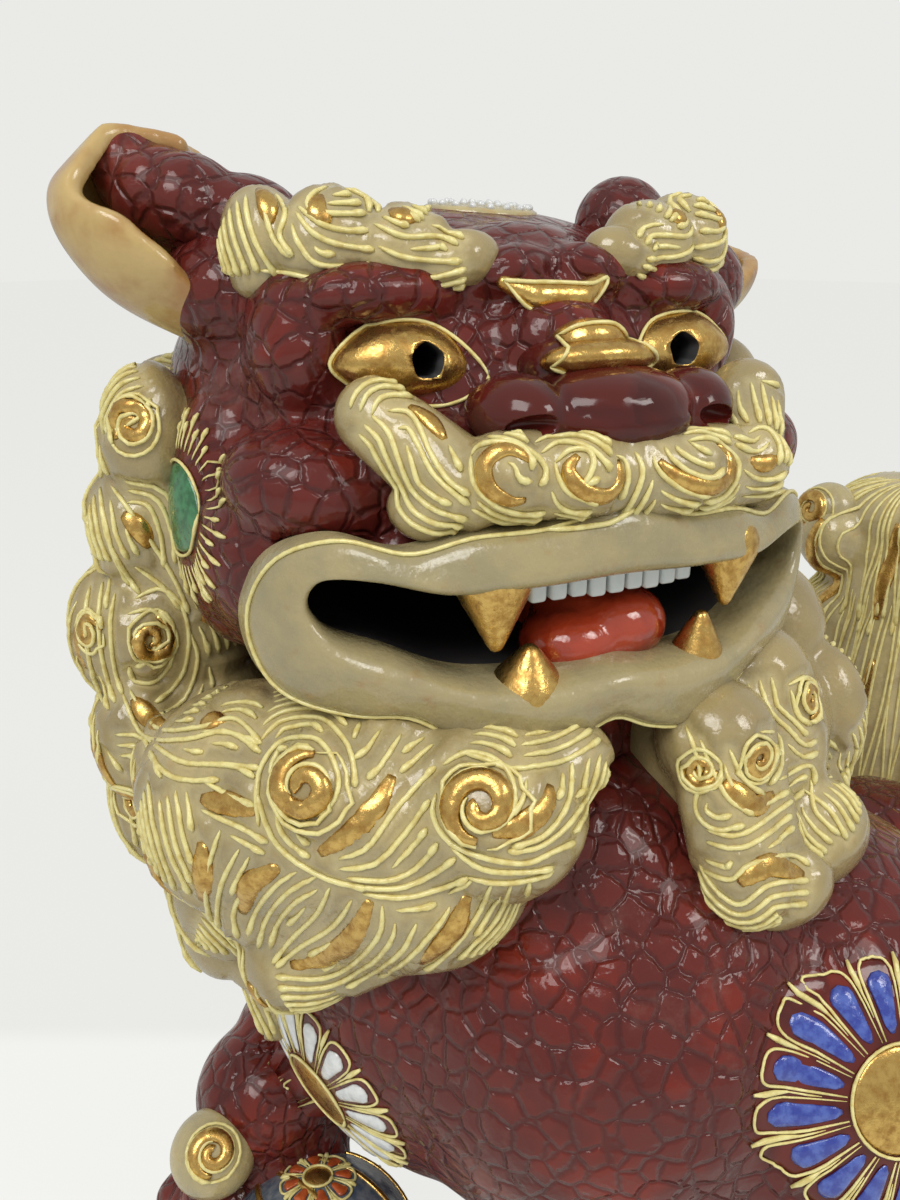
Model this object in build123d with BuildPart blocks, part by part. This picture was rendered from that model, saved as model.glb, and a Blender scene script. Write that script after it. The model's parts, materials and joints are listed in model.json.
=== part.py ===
from build123d import *
import math
import os

os.makedirs("parts", exist_ok=True)

# A glazed porcelain guardian lion, hollow cast and luted together from its castings and
# applied pieces. Lengths are in millimetres and turns in degrees. The body looks along -X,
# its left side is -Y.
# The head is made in its own frame: its left is +X, its face looks along -Y, and its origin
# is midway between the pupils. Lumps of clay are pills: a round bar with domed ends.

# Clay, seats and cuts
clay_wall = 6.0
seat_gap = 0.3
overrun = 30.0
crumb_share = 0.05
seam_turn = (20.0, 0, 35.0)
pill_seam_turn = 35.0

# Driving sizes of the head
brow_span = 100.0
skull_depth = 100.0
face_height = 100.0
eye_height = 235.0
head_turn = -25.0
head_forward = 70.0
head_aside = 8.0

# Driving sizes of the body
body_length = 200.0
stance_width = 200.0
back_height = 130.0

# Head casting, each lump as the places of its two ends and its radius
cranium_shares = ((-0.24, 0.38, -0.10), (0.24, 0.38, -0.10))
cranium_radius = 37.0
occiput_shares = ((-0.22, 0.60, -0.14), (0.22, 0.60, -0.14))
occiput_radius = 35.0
brow_ridge_shares = ((-0.36, 0.21, 0.09), (0.36, 0.21, 0.09))
brow_ridge_radius = 15.0
jaw_shares = ((-0.27, 0.06, -0.47), (0.27, 0.06, -0.47))
jaw_radius = 32.0
jowl_shares = ((-0.28, 0.38, -0.44), (0.28, 0.38, -0.44))
jowl_radius = 31.0

# Mouth and lips
mouth_width = 98.0
mouth_height = 18.0
mouth_at_shares = (0, 0.50, -0.425)
lip_radius = 5.5
lip_proud = 4.5
upper_lip_level_share = -0.285
lower_lip_level_share = -0.595
lip_wrap = 74.0

# Eyes, brows and forehead
eye_shares = ((0.20, 0.035, -0.01), (0.33, 0.055, -0.01))
eye_radius = 7.0
pupil_diameter = 6.0
pupil_at_shares = (0.257, 0, 0)
brow_shares = ((0.21, 0.11, 0.195), (0.44, 0.20, 0.20))
brow_radius = 9.0
crescent_shares = ((-0.07, 0.055, 0.115), (0.07, 0.055, 0.115))
crescent_radius = 2.8
crown_diameter = 24.0
crown_height = 4.0
crown_at_shares = (0, 0.38, 0.27)

# Nose and moustache
nose_shares = ((-0.12, -0.14, -0.08), (0.12, -0.14, -0.08))
nose_radius = 9.0
bridge_shares = ((0, 0.06, -0.05), (0, -0.12, -0.07))
bridge_radius = 9.5
nostril_diameter = 5.5
nostril_at_shares = (0.135, -0.20, -0.085)
nose_cap_shares = ((-0.05, -0.11, -0.01), (0.05, -0.11, -0.01))
nose_cap_radius = 7.5
tuft_shares = ((0.29, -0.04, -0.11), (0.34, -0.09, -0.20))
tuft_radius = 10.0
inner_curl_at_shares = (0.10, -0.27, -0.165)
inner_curl_radius = 7.2
outer_curl_at_shares = (0.235, -0.24, -0.155)
outer_curl_radius = 7.2

# Ears
ear_shares = ((0.46, 0.47, 0.11), (0.67, 0.52, 0.27))
ear_radius = 13.0
ear_scoop_at_shares = (0.64, 0.40, 0.36)
ear_scoop_radius = 13.0
ear_fold_shares = ((0.40, 0.40, 0.20), (0.50, 0.41, 0.30))
ear_fold_radius = 10.0

# Teeth, fangs and tongue
fang_length = 12.0
fang_width = 12.0
fang_tip_share = 0.3
upper_fang_at_shares = (0.25, -0.225, -0.31)
lower_fang_at_shares = (0.20, -0.26, -0.57)
tooth_width = 4.0
tooth_height = 5.0
tooth_depth = 5.0
tooth_gap = 0.3
tooth_count = 8
tooth_row_back_share = -0.19
tongue_shares = ((0.06, -0.09, -0.51), (0.06, 0.22, -0.56))
tongue_radius = 10.0

# Mane and beard lumps on each side of the head, as end places and radii
mane_shares = (
    ((0.62, 0.40, -0.16), (0.65, 0.46, -0.64)),
    ((0.56, 0.66, -0.20), (0.58, 0.70, -0.66)),
    ((0.63, 0.52, -0.80), (0.57, 0.62, -1.04)),
)
mane_radii = (17.0, 16.0, 19.0)
beard_shares = (
    ((0.57, 0.10, -0.84), (0.36, -0.10, -0.80)),
    ((0.46, 0.04, -1.00), (0.32, -0.16, -0.88)),
    ((0.33, -0.16, -0.78), (0.23, -0.27, -0.74)),
)
beard_radii = (24.0, 20.0, 16.0)
mane_curl_shares = ((0.78, 0.34, -0.18), (0.81, 0.42, -0.54), (0.78, 0.44, -0.92))
mane_curl_radius = 10.0
beard_curl_shares = ((0.51, -0.22, -0.68), (0.28, -0.42, -0.70))
beard_curl_radius = 9.0
nape_mane_shares = (
    ((-0.24, 0.84, -0.10), (0.24, 0.84, -0.10)),
    ((-0.22, 0.88, -0.52), (0.22, 0.88, -0.52)),
    ((-0.08, 0.92, -0.92), (0.08, 0.92, -0.92)),
)
nape_mane_radii = (22.0, 25.0, 23.0)

# Body casting
chest_shares = ((-0.29, -0.08, 0.78), (-0.29, 0.03, 0.78))
chest_radius = 62.0
throat_shares = ((-0.375, -0.08, 0.80), (-0.375, -0.08, 1.42))
throat_radius = 35.0
neck_top = 172.0
left_shoulder_at_shares = (-0.15, -0.225, 0.66)
left_shoulder_radius = 52.0
right_shoulder_at_shares = (-0.23, 0.235, 0.69)
right_shoulder_radius = 46.0
barrel_shares = ((-0.15, 0, 0.68), (0.35, 0, 0.68))
barrel_radius = 48.0
vent_diameter = 12.0

# Legs, paws, claws and ball
leg_top_diameter = 46.0
leg_ankle_diameter = 30.0
foreleg_shares = ((-0.19, -0.27, 0.50), (-0.27, -0.30, 0.10))
hind_leg_shares = ((0.38, 0.23, 0.46), (0.37, 0.27, 0.10))
raised_leg_shares = ((-0.36, 0.225, 0.56), (-0.51, 0.235, 0.29))
thigh_shares = ((0.31, 0.17, 0.56), (0.40, 0.19, 0.46))
thigh_radius = 29.0
paw_radius = 15.0
paw_length = 48.0
paw_lead = 9.0
paw_sink = 4.0
toe_radius = 6.5
toe_length = 20.0
toe_count = 4
toe_spread = 26.0
toe_sweep_share = 0.35
claw_radius = 2.6
claw_length = 9.0
ball_diameter = 54.0
ball_at_shares = (-0.53, 0.12)
ball_foot_share = 0.96

# Leg ornaments
shoulder_tuft_shares = ((-0.17, -0.35, 0.93), (-0.03, -0.36, 0.87))
shoulder_tuft_radius = 11.0
raised_wrist_curl_shares = (-0.50, 0.325, 0.44)
wrist_curl_shares = (-0.25, -0.37, 0.24)
wrist_curl_radius = 9.0
thigh_tuft_shares = ((0.44, 0.30, 0.52), (0.52, 0.28, 0.62))
thigh_tuft_radius = 10.0

# Tail
tail_core_shares = ((0.60, -0.08, 0.82), (0.60, -0.08, 1.14))
tail_core_radius = 33.0
tail_crown_shares = ((0.60, -0.14, 1.25), (0.60, -0.02, 1.25))
tail_crown_radius = 26.0
left_tail_lock_shares = ((0.58, -0.24, 0.70), (0.57, -0.22, 1.18))
right_tail_lock_shares = ((0.58, 0.08, 0.70), (0.57, 0.06, 1.18))
tail_lock_radius = 17.0
left_tail_curl_shares = (0.50, -0.20, 1.30)
right_tail_curl_shares = (0.50, 0.04, 1.30)
tail_curl_radius = 11.0


def on_head(shares, side=1):
    """A place on the head, in its own frame, on its left for side 1 and its right for -1."""
    across, back, up = shares
    return Vector(side * across * brow_span, back * skull_depth, up * face_height)


def on_body(shares, side=1):
    """A place on the body, mirrored to the other flank for side -1."""
    along, across, up = shares
    return Vector(along * body_length, side * across * stance_width, up * back_height)


def pill(start, end, radius):
    """A lump of clay: a round bar with domed ends, turned about the line between two places."""
    run = end - start
    with BuildPart() as lump:
        with BuildSketch(Plane.XZ):
            with BuildLine():
                Line((0, -radius), (0, run.length + radius))
                RadiusArc((0, run.length + radius), (radius, run.length), radius)
                Line((radius, run.length), (radius, 0))
                RadiusArc((radius, 0), (0, -radius), radius)
            make_face()
        revolve(axis=Axis.Z)
    return Plane(origin=start, z_dir=run).location * Location((0, 0, 0), (0, 0, pill_seam_turn)) * lump.part


def dab(centre, radius):
    """A round lump of clay."""
    return Location(centre, seam_turn) * Sphere(radius, mode=Mode.PRIVATE)


head_place = Location((-head_forward, -head_aside, eye_height), (0, 0, head_turn))


def head_pill(shares, radius, side=1):
    """A pill between two places on the head."""
    return pill(on_head(shares[0], side), on_head(shares[1], side), radius)


def body_pill(shares, radius, side=1):
    """A pill between two places on the body."""
    return pill(on_body(shares[0], side), on_body(shares[1], side), radius)


skull_lumps = (
    (cranium_shares, cranium_radius),
    (occiput_shares, occiput_radius),
    (brow_ridge_shares, brow_ridge_radius),
    (jaw_shares, jaw_radius),
    (jowl_shares, jowl_radius),
)


def skull_form(grow=0.0):
    """The outside of the head casting, swollen by grow for seats or shrunk for the hollow."""
    with BuildPart() as form:
        for shares, radius in skull_lumps:
            add(head_pill(shares, radius + grow))
    return form.part


def torso_form(grow=0.0, top=neck_top):
    """The outside of the body casting, cut off square inside the neck."""
    with BuildPart() as form:
        add(body_pill(chest_shares, chest_radius + grow))
        add(dab(on_body(left_shoulder_at_shares), left_shoulder_radius + grow))
        add(dab(on_body(right_shoulder_at_shares), right_shoulder_radius + grow))
        add(body_pill(barrel_shares, barrel_radius + grow))
        add(body_pill(throat_shares, throat_radius + grow))
        split(bisect_by=Plane.XY.offset(top), keep=Keep.BOTTOM)
    return form.part


# Forms that several pieces are seated against
skull_seat = skull_form(seat_gap)
torso_seat = torso_form(seat_gap, neck_top + seat_gap)
torso_seat_at_head = head_place.inverse() * torso_seat
pieces = []


def keep(builder, label, place=Location()):
    """Label a finished piece and keep it, set where it goes on the statue."""
    solids = builder.part.solids().sort_by(SortBy.VOLUME)
    sound = [solid for solid in solids if solid.volume > crumb_share * solids[-1].volume]
    builder.part = Part(sound)
    builder.part.label = label
    placed = place * builder.part
    placed.label = label
    pieces.append(placed)


def keep_pair(builder, label):
    """Keep a piece of the left of the face, and its mirror image on the right."""
    keep(builder, f"left_{label}", head_place)
    with BuildPart() as mirrored:
        add(mirror(builder.part, about=Plane.YZ, mode=Mode.PRIVATE))
    keep(mirrored, f"right_{label}", head_place)


def take_off(*seats):
    """Cut the seats of neighbouring pieces out of the part being made."""
    for seat in seats:
        add(seat, mode=Mode.SUBTRACT)


# Body casting, with its firing vent under the belly
with BuildPart() as torso_shell:
    add(torso_form())
    take_off(torso_form(-clay_wall, neck_top + overrun))
    with Locations((on_body(barrel_shares[1]).X / 2, 0, 0)):
        Cylinder(vent_diameter / 2, back_height, mode=Mode.SUBTRACT)
keep(torso_shell, "torso_shell")


# Legs, paws, claws and ball
def leg_form(top, foot, grow=0.0):
    """A leg tapering from the body to the ankle."""
    run = foot - top
    taper = Cone(
        leg_top_diameter / 2 + grow,
        leg_ankle_diameter / 2 + grow,
        run.length,
        align=(Align.CENTER, Align.CENTER, Align.MIN),
        mode=Mode.PRIVATE,
    )
    return Plane(origin=top, z_dir=run).location * taper


def toe_runs(foot):
    """Where each toe starts and ends as they fan out in front of a paw."""
    step = toe_spread / (toe_count - 1)
    back = foot.X - paw_lead - paw_length / 2 + paw_radius
    for index in range(toe_count):
        aside = -toe_spread / 2 + index * step
        start = Vector(back + abs(aside) * toe_sweep_share, foot.Y + aside, foot.Z - paw_sink)
        yield start, start - Vector(toe_length - toe_radius, 0, 0)


def paw_form(foot, grow=0.0):
    """A paw and its toes, about the foot of the leg."""
    half = Vector(paw_length / 2 - paw_radius, 0, 0)
    centre = foot - Vector(paw_lead, 0, 0)
    with BuildPart() as paw:
        add(pill(centre - half, centre + half, paw_radius + grow))
        for start, end in toe_runs(foot):
            add(pill(start, end, toe_radius + grow))
    return paw.part


ball_centre = on_body((*ball_at_shares, 0)) + Vector(0, 0, ball_diameter / 2 * ball_foot_share)
paw_height = paw_radius - paw_sink
legs = {
    "left_fore": (foreleg_shares, 1),
    "right_fore": (raised_leg_shares, 1),
    "left_hind_": (hind_leg_shares, -1),
    "right_hind_": (hind_leg_shares, 1),
}

with BuildPart() as ball:
    with Locations(ball_centre):
        Sphere(ball_diameter / 2)
    split(bisect_by=Plane.XY, keep=Keep.TOP)
keep(ball, "ball")
ball_seat = dab(ball_centre, ball_diameter / 2 + seat_gap)

leg_seats = {}
paw_seats = {}
for name, (shares, side) in legs.items():
    top, foot = on_body(shares[0], side), on_body(shares[1], side)
    raised = shares is raised_leg_shares
    hind = shares is hind_leg_shares
    middle = foot if raised else Vector(foot.X, foot.Y, paw_height)
    paw_seats[name] = paw_form(middle, seat_gap)
    leg_seats[name] = leg_form(top, foot, seat_gap)

    with BuildPart() as paw:
        add(paw_form(middle))
        if raised:
            take_off(ball_seat, torso_seat)
        else:
            split(bisect_by=Plane.XY, keep=Keep.TOP)
    keep(paw, f"{name}paw")

    with BuildPart() as leg:
        add(leg_form(top, foot))
        if hind:
            add(body_pill(thigh_shares, thigh_radius, side))
        take_off(torso_seat, paw_seats[name])
        if raised:
            take_off(ball_seat)
    keep(leg, f"{name}leg")

    with BuildPart() as claws:
        for start, end in toe_runs(middle):
            tip = end - Vector(toe_radius, 0, 0)
            add(pill(tip - Vector(claw_length / 2 - claw_radius, 0, claw_radius / 2), end, claw_radius))
        take_off(paw_seats[name])
        if raised:
            take_off(ball_seat)
    keep(claws, f"{name}claws")

# Leg ornaments
with BuildPart() as shoulder_tuft:
    add(body_pill(shoulder_tuft_shares, shoulder_tuft_radius))
    take_off(torso_seat)
keep(shoulder_tuft, "shoulder_tuft")

for side, shares, name in (
    ("left", wrist_curl_shares, "left_fore"),
    ("right", raised_wrist_curl_shares, "right_fore"),
):
    with BuildPart() as wrist_curl:
        add(dab(on_body(shares), wrist_curl_radius))
        take_off(leg_seats[name], paw_seats[name], torso_seat)
    keep(wrist_curl, f"{side}_wrist_curl")

for side, sign in (("left", -1), ("right", 1)):
    with BuildPart() as thigh_tuft:
        add(body_pill(thigh_tuft_shares, thigh_tuft_radius, sign))
        take_off(body_pill(thigh_shares, thigh_radius + seat_gap, sign), torso_seat)
        take_off(leg_seats[f"{side}_hind_"])
    keep(thigh_tuft, f"{side}_thigh_tuft")

# Tail
tail_core_seat = body_pill(tail_core_shares, tail_core_radius + seat_gap)
tail_crown_seat = body_pill(tail_crown_shares, tail_crown_radius + seat_gap)

with BuildPart() as tail_core:
    add(body_pill(tail_core_shares, tail_core_radius))
    take_off(torso_seat)
keep(tail_core, "tail_core")

with BuildPart() as tail_crown:
    add(body_pill(tail_crown_shares, tail_crown_radius))
    take_off(tail_core_seat)
keep(tail_crown, "tail_crown")

for side, sign, lock_shares, curl_shares in (
    ("left", -1, left_tail_lock_shares, left_tail_curl_shares),
    ("right", 1, right_tail_lock_shares, right_tail_curl_shares),
):
    with BuildPart() as tail_lock:
        add(body_pill(lock_shares, tail_lock_radius))
        take_off(tail_core_seat, tail_crown_seat, torso_seat)
        take_off(body_pill(thigh_shares, thigh_radius + seat_gap, sign))
        take_off(body_pill(thigh_tuft_shares, thigh_tuft_radius + seat_gap, sign))
    keep(tail_lock, f"{side}_tail_lock")

    with BuildPart() as tail_curl:
        add(dab(on_body(curl_shares), tail_curl_radius))
        take_off(tail_core_seat, tail_crown_seat)
        take_off(body_pill(lock_shares, tail_lock_radius + seat_gap))
    keep(tail_curl, f"{side}_tail_curl")


# Head casting, with its open mouth and the pupils pierced through
def pupil_hole(side):
    """The hole pierced through one pupil, from in front of the eye into the hollow."""
    hole = Cylinder(pupil_diameter / 2, 2 * overrun, mode=Mode.PRIVATE)
    return Plane(origin=on_head(pupil_at_shares, side), z_dir=(0, 1, 0)).location * hole


mouth_place = on_head(mouth_at_shares)
with BuildPart() as mouth_hole:
    with BuildSketch(Plane(origin=mouth_place, x_dir=(1, 0, 0), z_dir=(0, -1, 0))):
        SlotOverall(mouth_width, mouth_height)
    extrude(amount=mouth_place.Y + skull_depth)

with BuildPart() as head_shell:
    add(skull_form())
    take_off(skull_form(-clay_wall), mouth_hole.part, torso_seat_at_head)
    take_off(pupil_hole(1), pupil_hole(-1))
keep(head_shell, "head_shell", head_place)


# Lips
def lip_form(level_share, grow=0.0):
    """A rounded band of clay bent round the jaw at one level."""
    level = level_share * face_height
    corner = on_head(jaw_shares[1])
    bend = math.sqrt(jaw_radius**2 - (level - corner.Z) ** 2) + lip_proud
    wrap = math.radians(lip_wrap)
    with BuildPart() as lip:
        with BuildLine():
            middle = Line((-corner.X, corner.Y - bend, level), (corner.X, corner.Y - bend, level))
            for side in (1, -1):
                ends = [
                    Vector(
                        side * (corner.X + bend * math.sin(turn)),
                        corner.Y - bend * math.cos(turn),
                        level,
                    )
                    for turn in (0, wrap / 2, wrap)
                ]
                ThreePointArc(*ends)
        with BuildSketch(Plane(origin=middle @ 0.5, z_dir=(1, 0, 0))):
            Circle(lip_radius + grow)
        sweep()
    return lip.part


lips = {"upper_lip": upper_lip_level_share, "lower_lip": lower_lip_level_share}
lip_seats = {name: lip_form(level, seat_gap) for name, level in lips.items()}
for name, level in lips.items():
    with BuildPart() as lip:
        add(lip_form(level))
        take_off(skull_seat, torso_seat_at_head)
    keep(lip, name, head_place)

# Nose, its gilt cap, the forehead crescent and the crown tuft
nose_seat = head_pill(nose_shares, nose_radius + seat_gap)
bridge_seat = head_pill(bridge_shares, bridge_radius + seat_gap)
with BuildPart() as nose:
    add(head_pill(nose_shares, nose_radius))
    add(head_pill(bridge_shares, bridge_radius))
    take_off(skull_seat, lip_seats["upper_lip"])
    for side in (1, -1):
        nostril = on_head(nostril_at_shares, side)
        take_off(pill(nostril, nostril - Vector(0, nose_radius, 0), nostril_diameter / 2))
keep(nose, "nose", head_place)

with BuildPart() as nose_cap:
    add(head_pill(nose_cap_shares, nose_cap_radius))
    take_off(skull_seat, nose_seat, bridge_seat)
keep(nose_cap, "nose_cap", head_place)

with BuildPart() as forehead_crescent:
    add(head_pill(crescent_shares, crescent_radius))
    take_off(skull_seat)
keep(forehead_crescent, "forehead_crescent", head_place)

with BuildPart() as crown_tuft:
    with Locations(on_head(crown_at_shares)):
        Cylinder(crown_diameter / 2, 2 * crown_height)
    fillet(crown_tuft.edges().sort_by(Axis.Z)[-1], crown_height / 2)
    take_off(skull_seat)
keep(crown_tuft, "crown_tuft", head_place)

# Teeth hang from the flat top edge of the mouth, and the tongue lies behind its lower edge
with BuildPart() as upper_teeth:
    tooth_pitch = tooth_width + tooth_gap
    tooth_middle = mouth_place.Z + mouth_height / 2 - tooth_height / 2
    for index in range(tooth_count):
        across = (index - (tooth_count - 1) / 2) * tooth_pitch
        with Locations((across, tooth_row_back_share * skull_depth, tooth_middle)):
            Box(tooth_width, tooth_depth, tooth_height)
    fillet(upper_teeth.edges().filter_by(Axis.Y).group_by(Axis.Z)[0], tooth_width / 4)
    take_off(lip_seats["upper_lip"])
keep(upper_teeth, "upper_teeth", head_place)

with BuildPart() as tongue:
    for side in (1, -1):
        add(head_pill(tongue_shares, tongue_radius, side))
    take_off(torso_seat_at_head)
keep(tongue, "tongue", head_place)


# Pieces that come in pairs on the face, made on the left and mirrored to the right
def ear_form(grow=0.0):
    """The scooped ear, swollen by grow."""
    scoop = dab(on_head(ear_scoop_at_shares), ear_scoop_radius - grow)
    return head_pill(ear_shares, ear_radius + grow) - scoop


with BuildPart() as eye:
    add(head_pill(eye_shares, eye_radius))
    take_off(skull_seat, pupil_hole(1))
keep_pair(eye, "eye")

with BuildPart() as brow:
    add(head_pill(brow_shares, brow_radius))
    take_off(skull_seat)
keep_pair(brow, "brow")

with BuildPart() as ear:
    add(ear_form())
    take_off(skull_seat)
keep_pair(ear, "ear")

with BuildPart() as ear_fold:
    add(head_pill(ear_fold_shares, ear_fold_radius))
    take_off(skull_seat, ear_form(seat_gap), head_pill(brow_shares, brow_radius + seat_gap))
keep_pair(ear_fold, "ear_fold")

inner_seat = dab(on_head(inner_curl_at_shares), inner_curl_radius + seat_gap)
outer_seat = dab(on_head(outer_curl_at_shares), outer_curl_radius + seat_gap)
face_seats = (skull_seat, lip_seats["upper_lip"], nose_seat)

with BuildPart() as moustache_curls:
    add(dab(on_head(outer_curl_at_shares), outer_curl_radius))
    take_off(inner_seat)
    add(dab(on_head(inner_curl_at_shares), inner_curl_radius))
    take_off(*face_seats)
keep_pair(moustache_curls, "moustache_curls")

with BuildPart() as moustache:
    add(head_pill(tuft_shares, tuft_radius))
    take_off(*face_seats, inner_seat, outer_seat, head_pill(eye_shares, eye_radius + seat_gap))
keep_pair(moustache, "moustache")

for row, shares, way, lip_seat in (
    ("upper", upper_fang_at_shares, -1, lip_seats["upper_lip"]),
    ("lower", lower_fang_at_shares, 1, lip_seats["lower_lip"]),
):
    with BuildPart() as fang:
        taper = Cone(
            fang_width / 2,
            fang_width / 2 * fang_tip_share,
            fang_length,
            align=(Align.CENTER, Align.CENTER, Align.MIN),
            mode=Mode.PRIVATE,
        )
        add(Plane(origin=on_head(shares), z_dir=(0, 0, way)).location * taper)
        tip_face = fang.faces().sort_by(Axis.Z)[0 if way < 0 else -1]
        fillet(tip_face.edges(), fang_width / 2 * fang_tip_share / 2)
        take_off(lip_seat, skull_seat - mouth_hole.part)
    keep_pair(fang, f"{row}_fang")


# Mane and beard
def lumps(side, places, radii, grow=0.0):
    """The pills of one tuft on one side of the head."""
    return [head_pill(shares, radius + grow, side) for shares, radius in zip(places, radii)]


mane_seats = []
for side, sign in (("left", 1), ("right", -1)):
    with BuildPart() as mane:
        for lump in lumps(sign, mane_shares, mane_radii):
            add(lump)
        take_off(skull_seat, torso_seat_at_head)
    keep(mane, f"{side}_mane", head_place)
    mane_seat = lumps(sign, mane_shares, mane_radii, seat_gap)
    mane_seats += mane_seat

    with BuildPart() as beard:
        for lump in lumps(sign, beard_shares, beard_radii):
            add(lump)
        take_off(skull_seat, torso_seat_at_head, lip_seats["lower_lip"], *mane_seat)
    keep(beard, f"{side}_beard", head_place)
    beard_seat = lumps(sign, beard_shares, beard_radii, seat_gap)

    with BuildPart() as mane_curls:
        for shares in mane_curl_shares:
            add(dab(on_head(shares, sign), mane_curl_radius))
        take_off(*mane_seat, skull_seat, torso_seat_at_head)
    keep(mane_curls, f"{side}_mane_curls", head_place)

    with BuildPart() as beard_curls:
        for shares in beard_curl_shares:
            add(dab(on_head(shares, sign), beard_curl_radius))
        take_off(*beard_seat, *mane_seat, lip_seats["lower_lip"], skull_seat, torso_seat_at_head)
    keep(beard_curls, f"{side}_beard_curls", head_place)

with BuildPart() as nape_mane:
    for shares, radius in zip(nape_mane_shares, nape_mane_radii):
        add(head_pill(shares, radius))
    take_off(skull_seat, torso_seat_at_head, *mane_seats)
keep(nape_mane, "nape_mane", head_place)

# Set the statue down with the middle of its outline on the origin
boxes = [piece.bounding_box() for piece in pieces]
lowest = [min(tuple(box.min)[axis] for box in boxes) for axis in range(3)]
highest = [max(tuple(box.max)[axis] for box in boxes) for axis in range(3)]
to_origin = Location((-(lowest[0] + highest[0]) / 2, -(lowest[1] + highest[1]) / 2, -lowest[2]))
for piece in pieces:
    settled = to_origin * piece
    settled.label = piece.label
    export_step(settled, f"parts/{settled.label}.step")
print(len(pieces), "pieces,", [round(high - low, 1) for low, high in zip(lowest, highest)])
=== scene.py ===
import json
import math
import random

import bmesh
import bpy
from mathutils import Euler, Matrix, Vector
from mathutils.bvhtree import BVHTree
from mathutils.kdtree import KDTree

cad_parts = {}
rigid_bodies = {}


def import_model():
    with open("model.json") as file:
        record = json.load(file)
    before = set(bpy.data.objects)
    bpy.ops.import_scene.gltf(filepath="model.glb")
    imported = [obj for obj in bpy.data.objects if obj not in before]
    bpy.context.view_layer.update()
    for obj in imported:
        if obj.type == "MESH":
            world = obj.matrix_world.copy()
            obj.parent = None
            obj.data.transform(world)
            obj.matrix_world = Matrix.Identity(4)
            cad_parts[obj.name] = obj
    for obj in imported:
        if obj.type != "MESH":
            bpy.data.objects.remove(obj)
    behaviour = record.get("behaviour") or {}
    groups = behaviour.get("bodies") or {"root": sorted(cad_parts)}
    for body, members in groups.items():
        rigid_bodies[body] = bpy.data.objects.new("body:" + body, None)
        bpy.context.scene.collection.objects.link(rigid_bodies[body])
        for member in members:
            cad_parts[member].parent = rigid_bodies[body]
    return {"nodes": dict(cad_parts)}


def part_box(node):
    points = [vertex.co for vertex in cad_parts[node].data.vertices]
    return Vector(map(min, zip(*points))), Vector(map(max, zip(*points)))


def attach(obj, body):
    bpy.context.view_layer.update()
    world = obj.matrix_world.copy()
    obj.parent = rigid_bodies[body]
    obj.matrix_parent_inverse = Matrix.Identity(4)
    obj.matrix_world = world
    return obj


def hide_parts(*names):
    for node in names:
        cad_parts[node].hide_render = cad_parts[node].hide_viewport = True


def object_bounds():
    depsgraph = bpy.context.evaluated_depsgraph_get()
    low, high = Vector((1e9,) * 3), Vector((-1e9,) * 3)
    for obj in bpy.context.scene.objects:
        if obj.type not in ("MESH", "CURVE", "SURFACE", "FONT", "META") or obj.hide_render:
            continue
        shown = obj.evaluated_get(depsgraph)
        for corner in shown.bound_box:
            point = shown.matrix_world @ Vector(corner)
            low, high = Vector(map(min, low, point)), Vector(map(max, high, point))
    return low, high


# %% [markdown]
# A glazed porcelain guardian lion, looked at from close to its face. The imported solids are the
# frame: every piece below is set by them, in metres, with Z up. The lion's body looks along -X,
# its left side is -Y, and its head is turned towards its left.

# %% The frame
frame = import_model()
cad_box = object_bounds()
MM = 0.001
print(len(frame["nodes"]), "solids in the frame")

# %% [markdown]
# The head has its own directions: its left, ahead of its face, and up. Places on it are written
# in millimetres from the point midway between the pupils. That point is found from the two
# eyes of the solid model, so the face moves with them.

# %% Places on the head
HEAD_TURN = math.radians(25)
LEFT = Vector((math.cos(HEAD_TURN), -math.sin(HEAD_TURN), 0))
AHEAD = Vector((-math.sin(HEAD_TURN), -math.cos(HEAD_TURN), 0))
UP = Vector((0, 0, 1))
PUPILS_FROM_EYES = (-0.45, 2.3, 0.73)


def middle(node):
    low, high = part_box(node)
    return (low + high) / 2


HEAD = (middle("left_eye") + middle("right_eye")) / 2
for way, step in zip((LEFT, AHEAD, UP), PUPILS_FROM_EYES):
    HEAD = HEAD + way * step * MM
IN_MM = Matrix.Scale(MM, 4)
HEAD_FRAME = Matrix.Translation(HEAD) @ Matrix((LEFT, -AHEAD, UP)).transposed().to_4x4() @ IN_MM


def on_head(left, ahead, up):
    return HEAD_FRAME @ Vector((left, -ahead, up))


def off_head(place):
    """The head's own millimetres for a place in the frame."""
    local = HEAD_FRAME.inverted() @ place
    return Vector((local.x, -local.y, local.z))


def across(place):
    """The same place on the other side of the face."""
    left, ahead, up = off_head(place)
    return on_head(-left, ahead, up)


print("middle of the pupils", [round(c / MM, 1) for c in HEAD])

# %% [markdown]
# The body has directions of its own, because the head is turned. Places on it are set out from
# the ball under the raised paw, whose middle can be read straight from the frame.

# %% Places on the body
BALL_SET_OUT = Vector((-106, 24, 26.46))
BODY_FRAME = Matrix.Translation(middle("ball") - BALL_SET_OUT * MM) @ IN_MM


def on_body(x, y, z):
    return BODY_FRAME @ Vector((x, y, z))


print("middle of the body's set-out", [round(c / MM, 1) for c in on_body(0, 0, 0)])

# %% [markdown]
# The camera stands about 196 mm from the pupils, to the lion's right and a little above its eyes.
# A place in the picture is a line of sight from it. Painted lines are set out along such lines
# of sight and then land on the clay, so they lie on the surface from any side.

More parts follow.
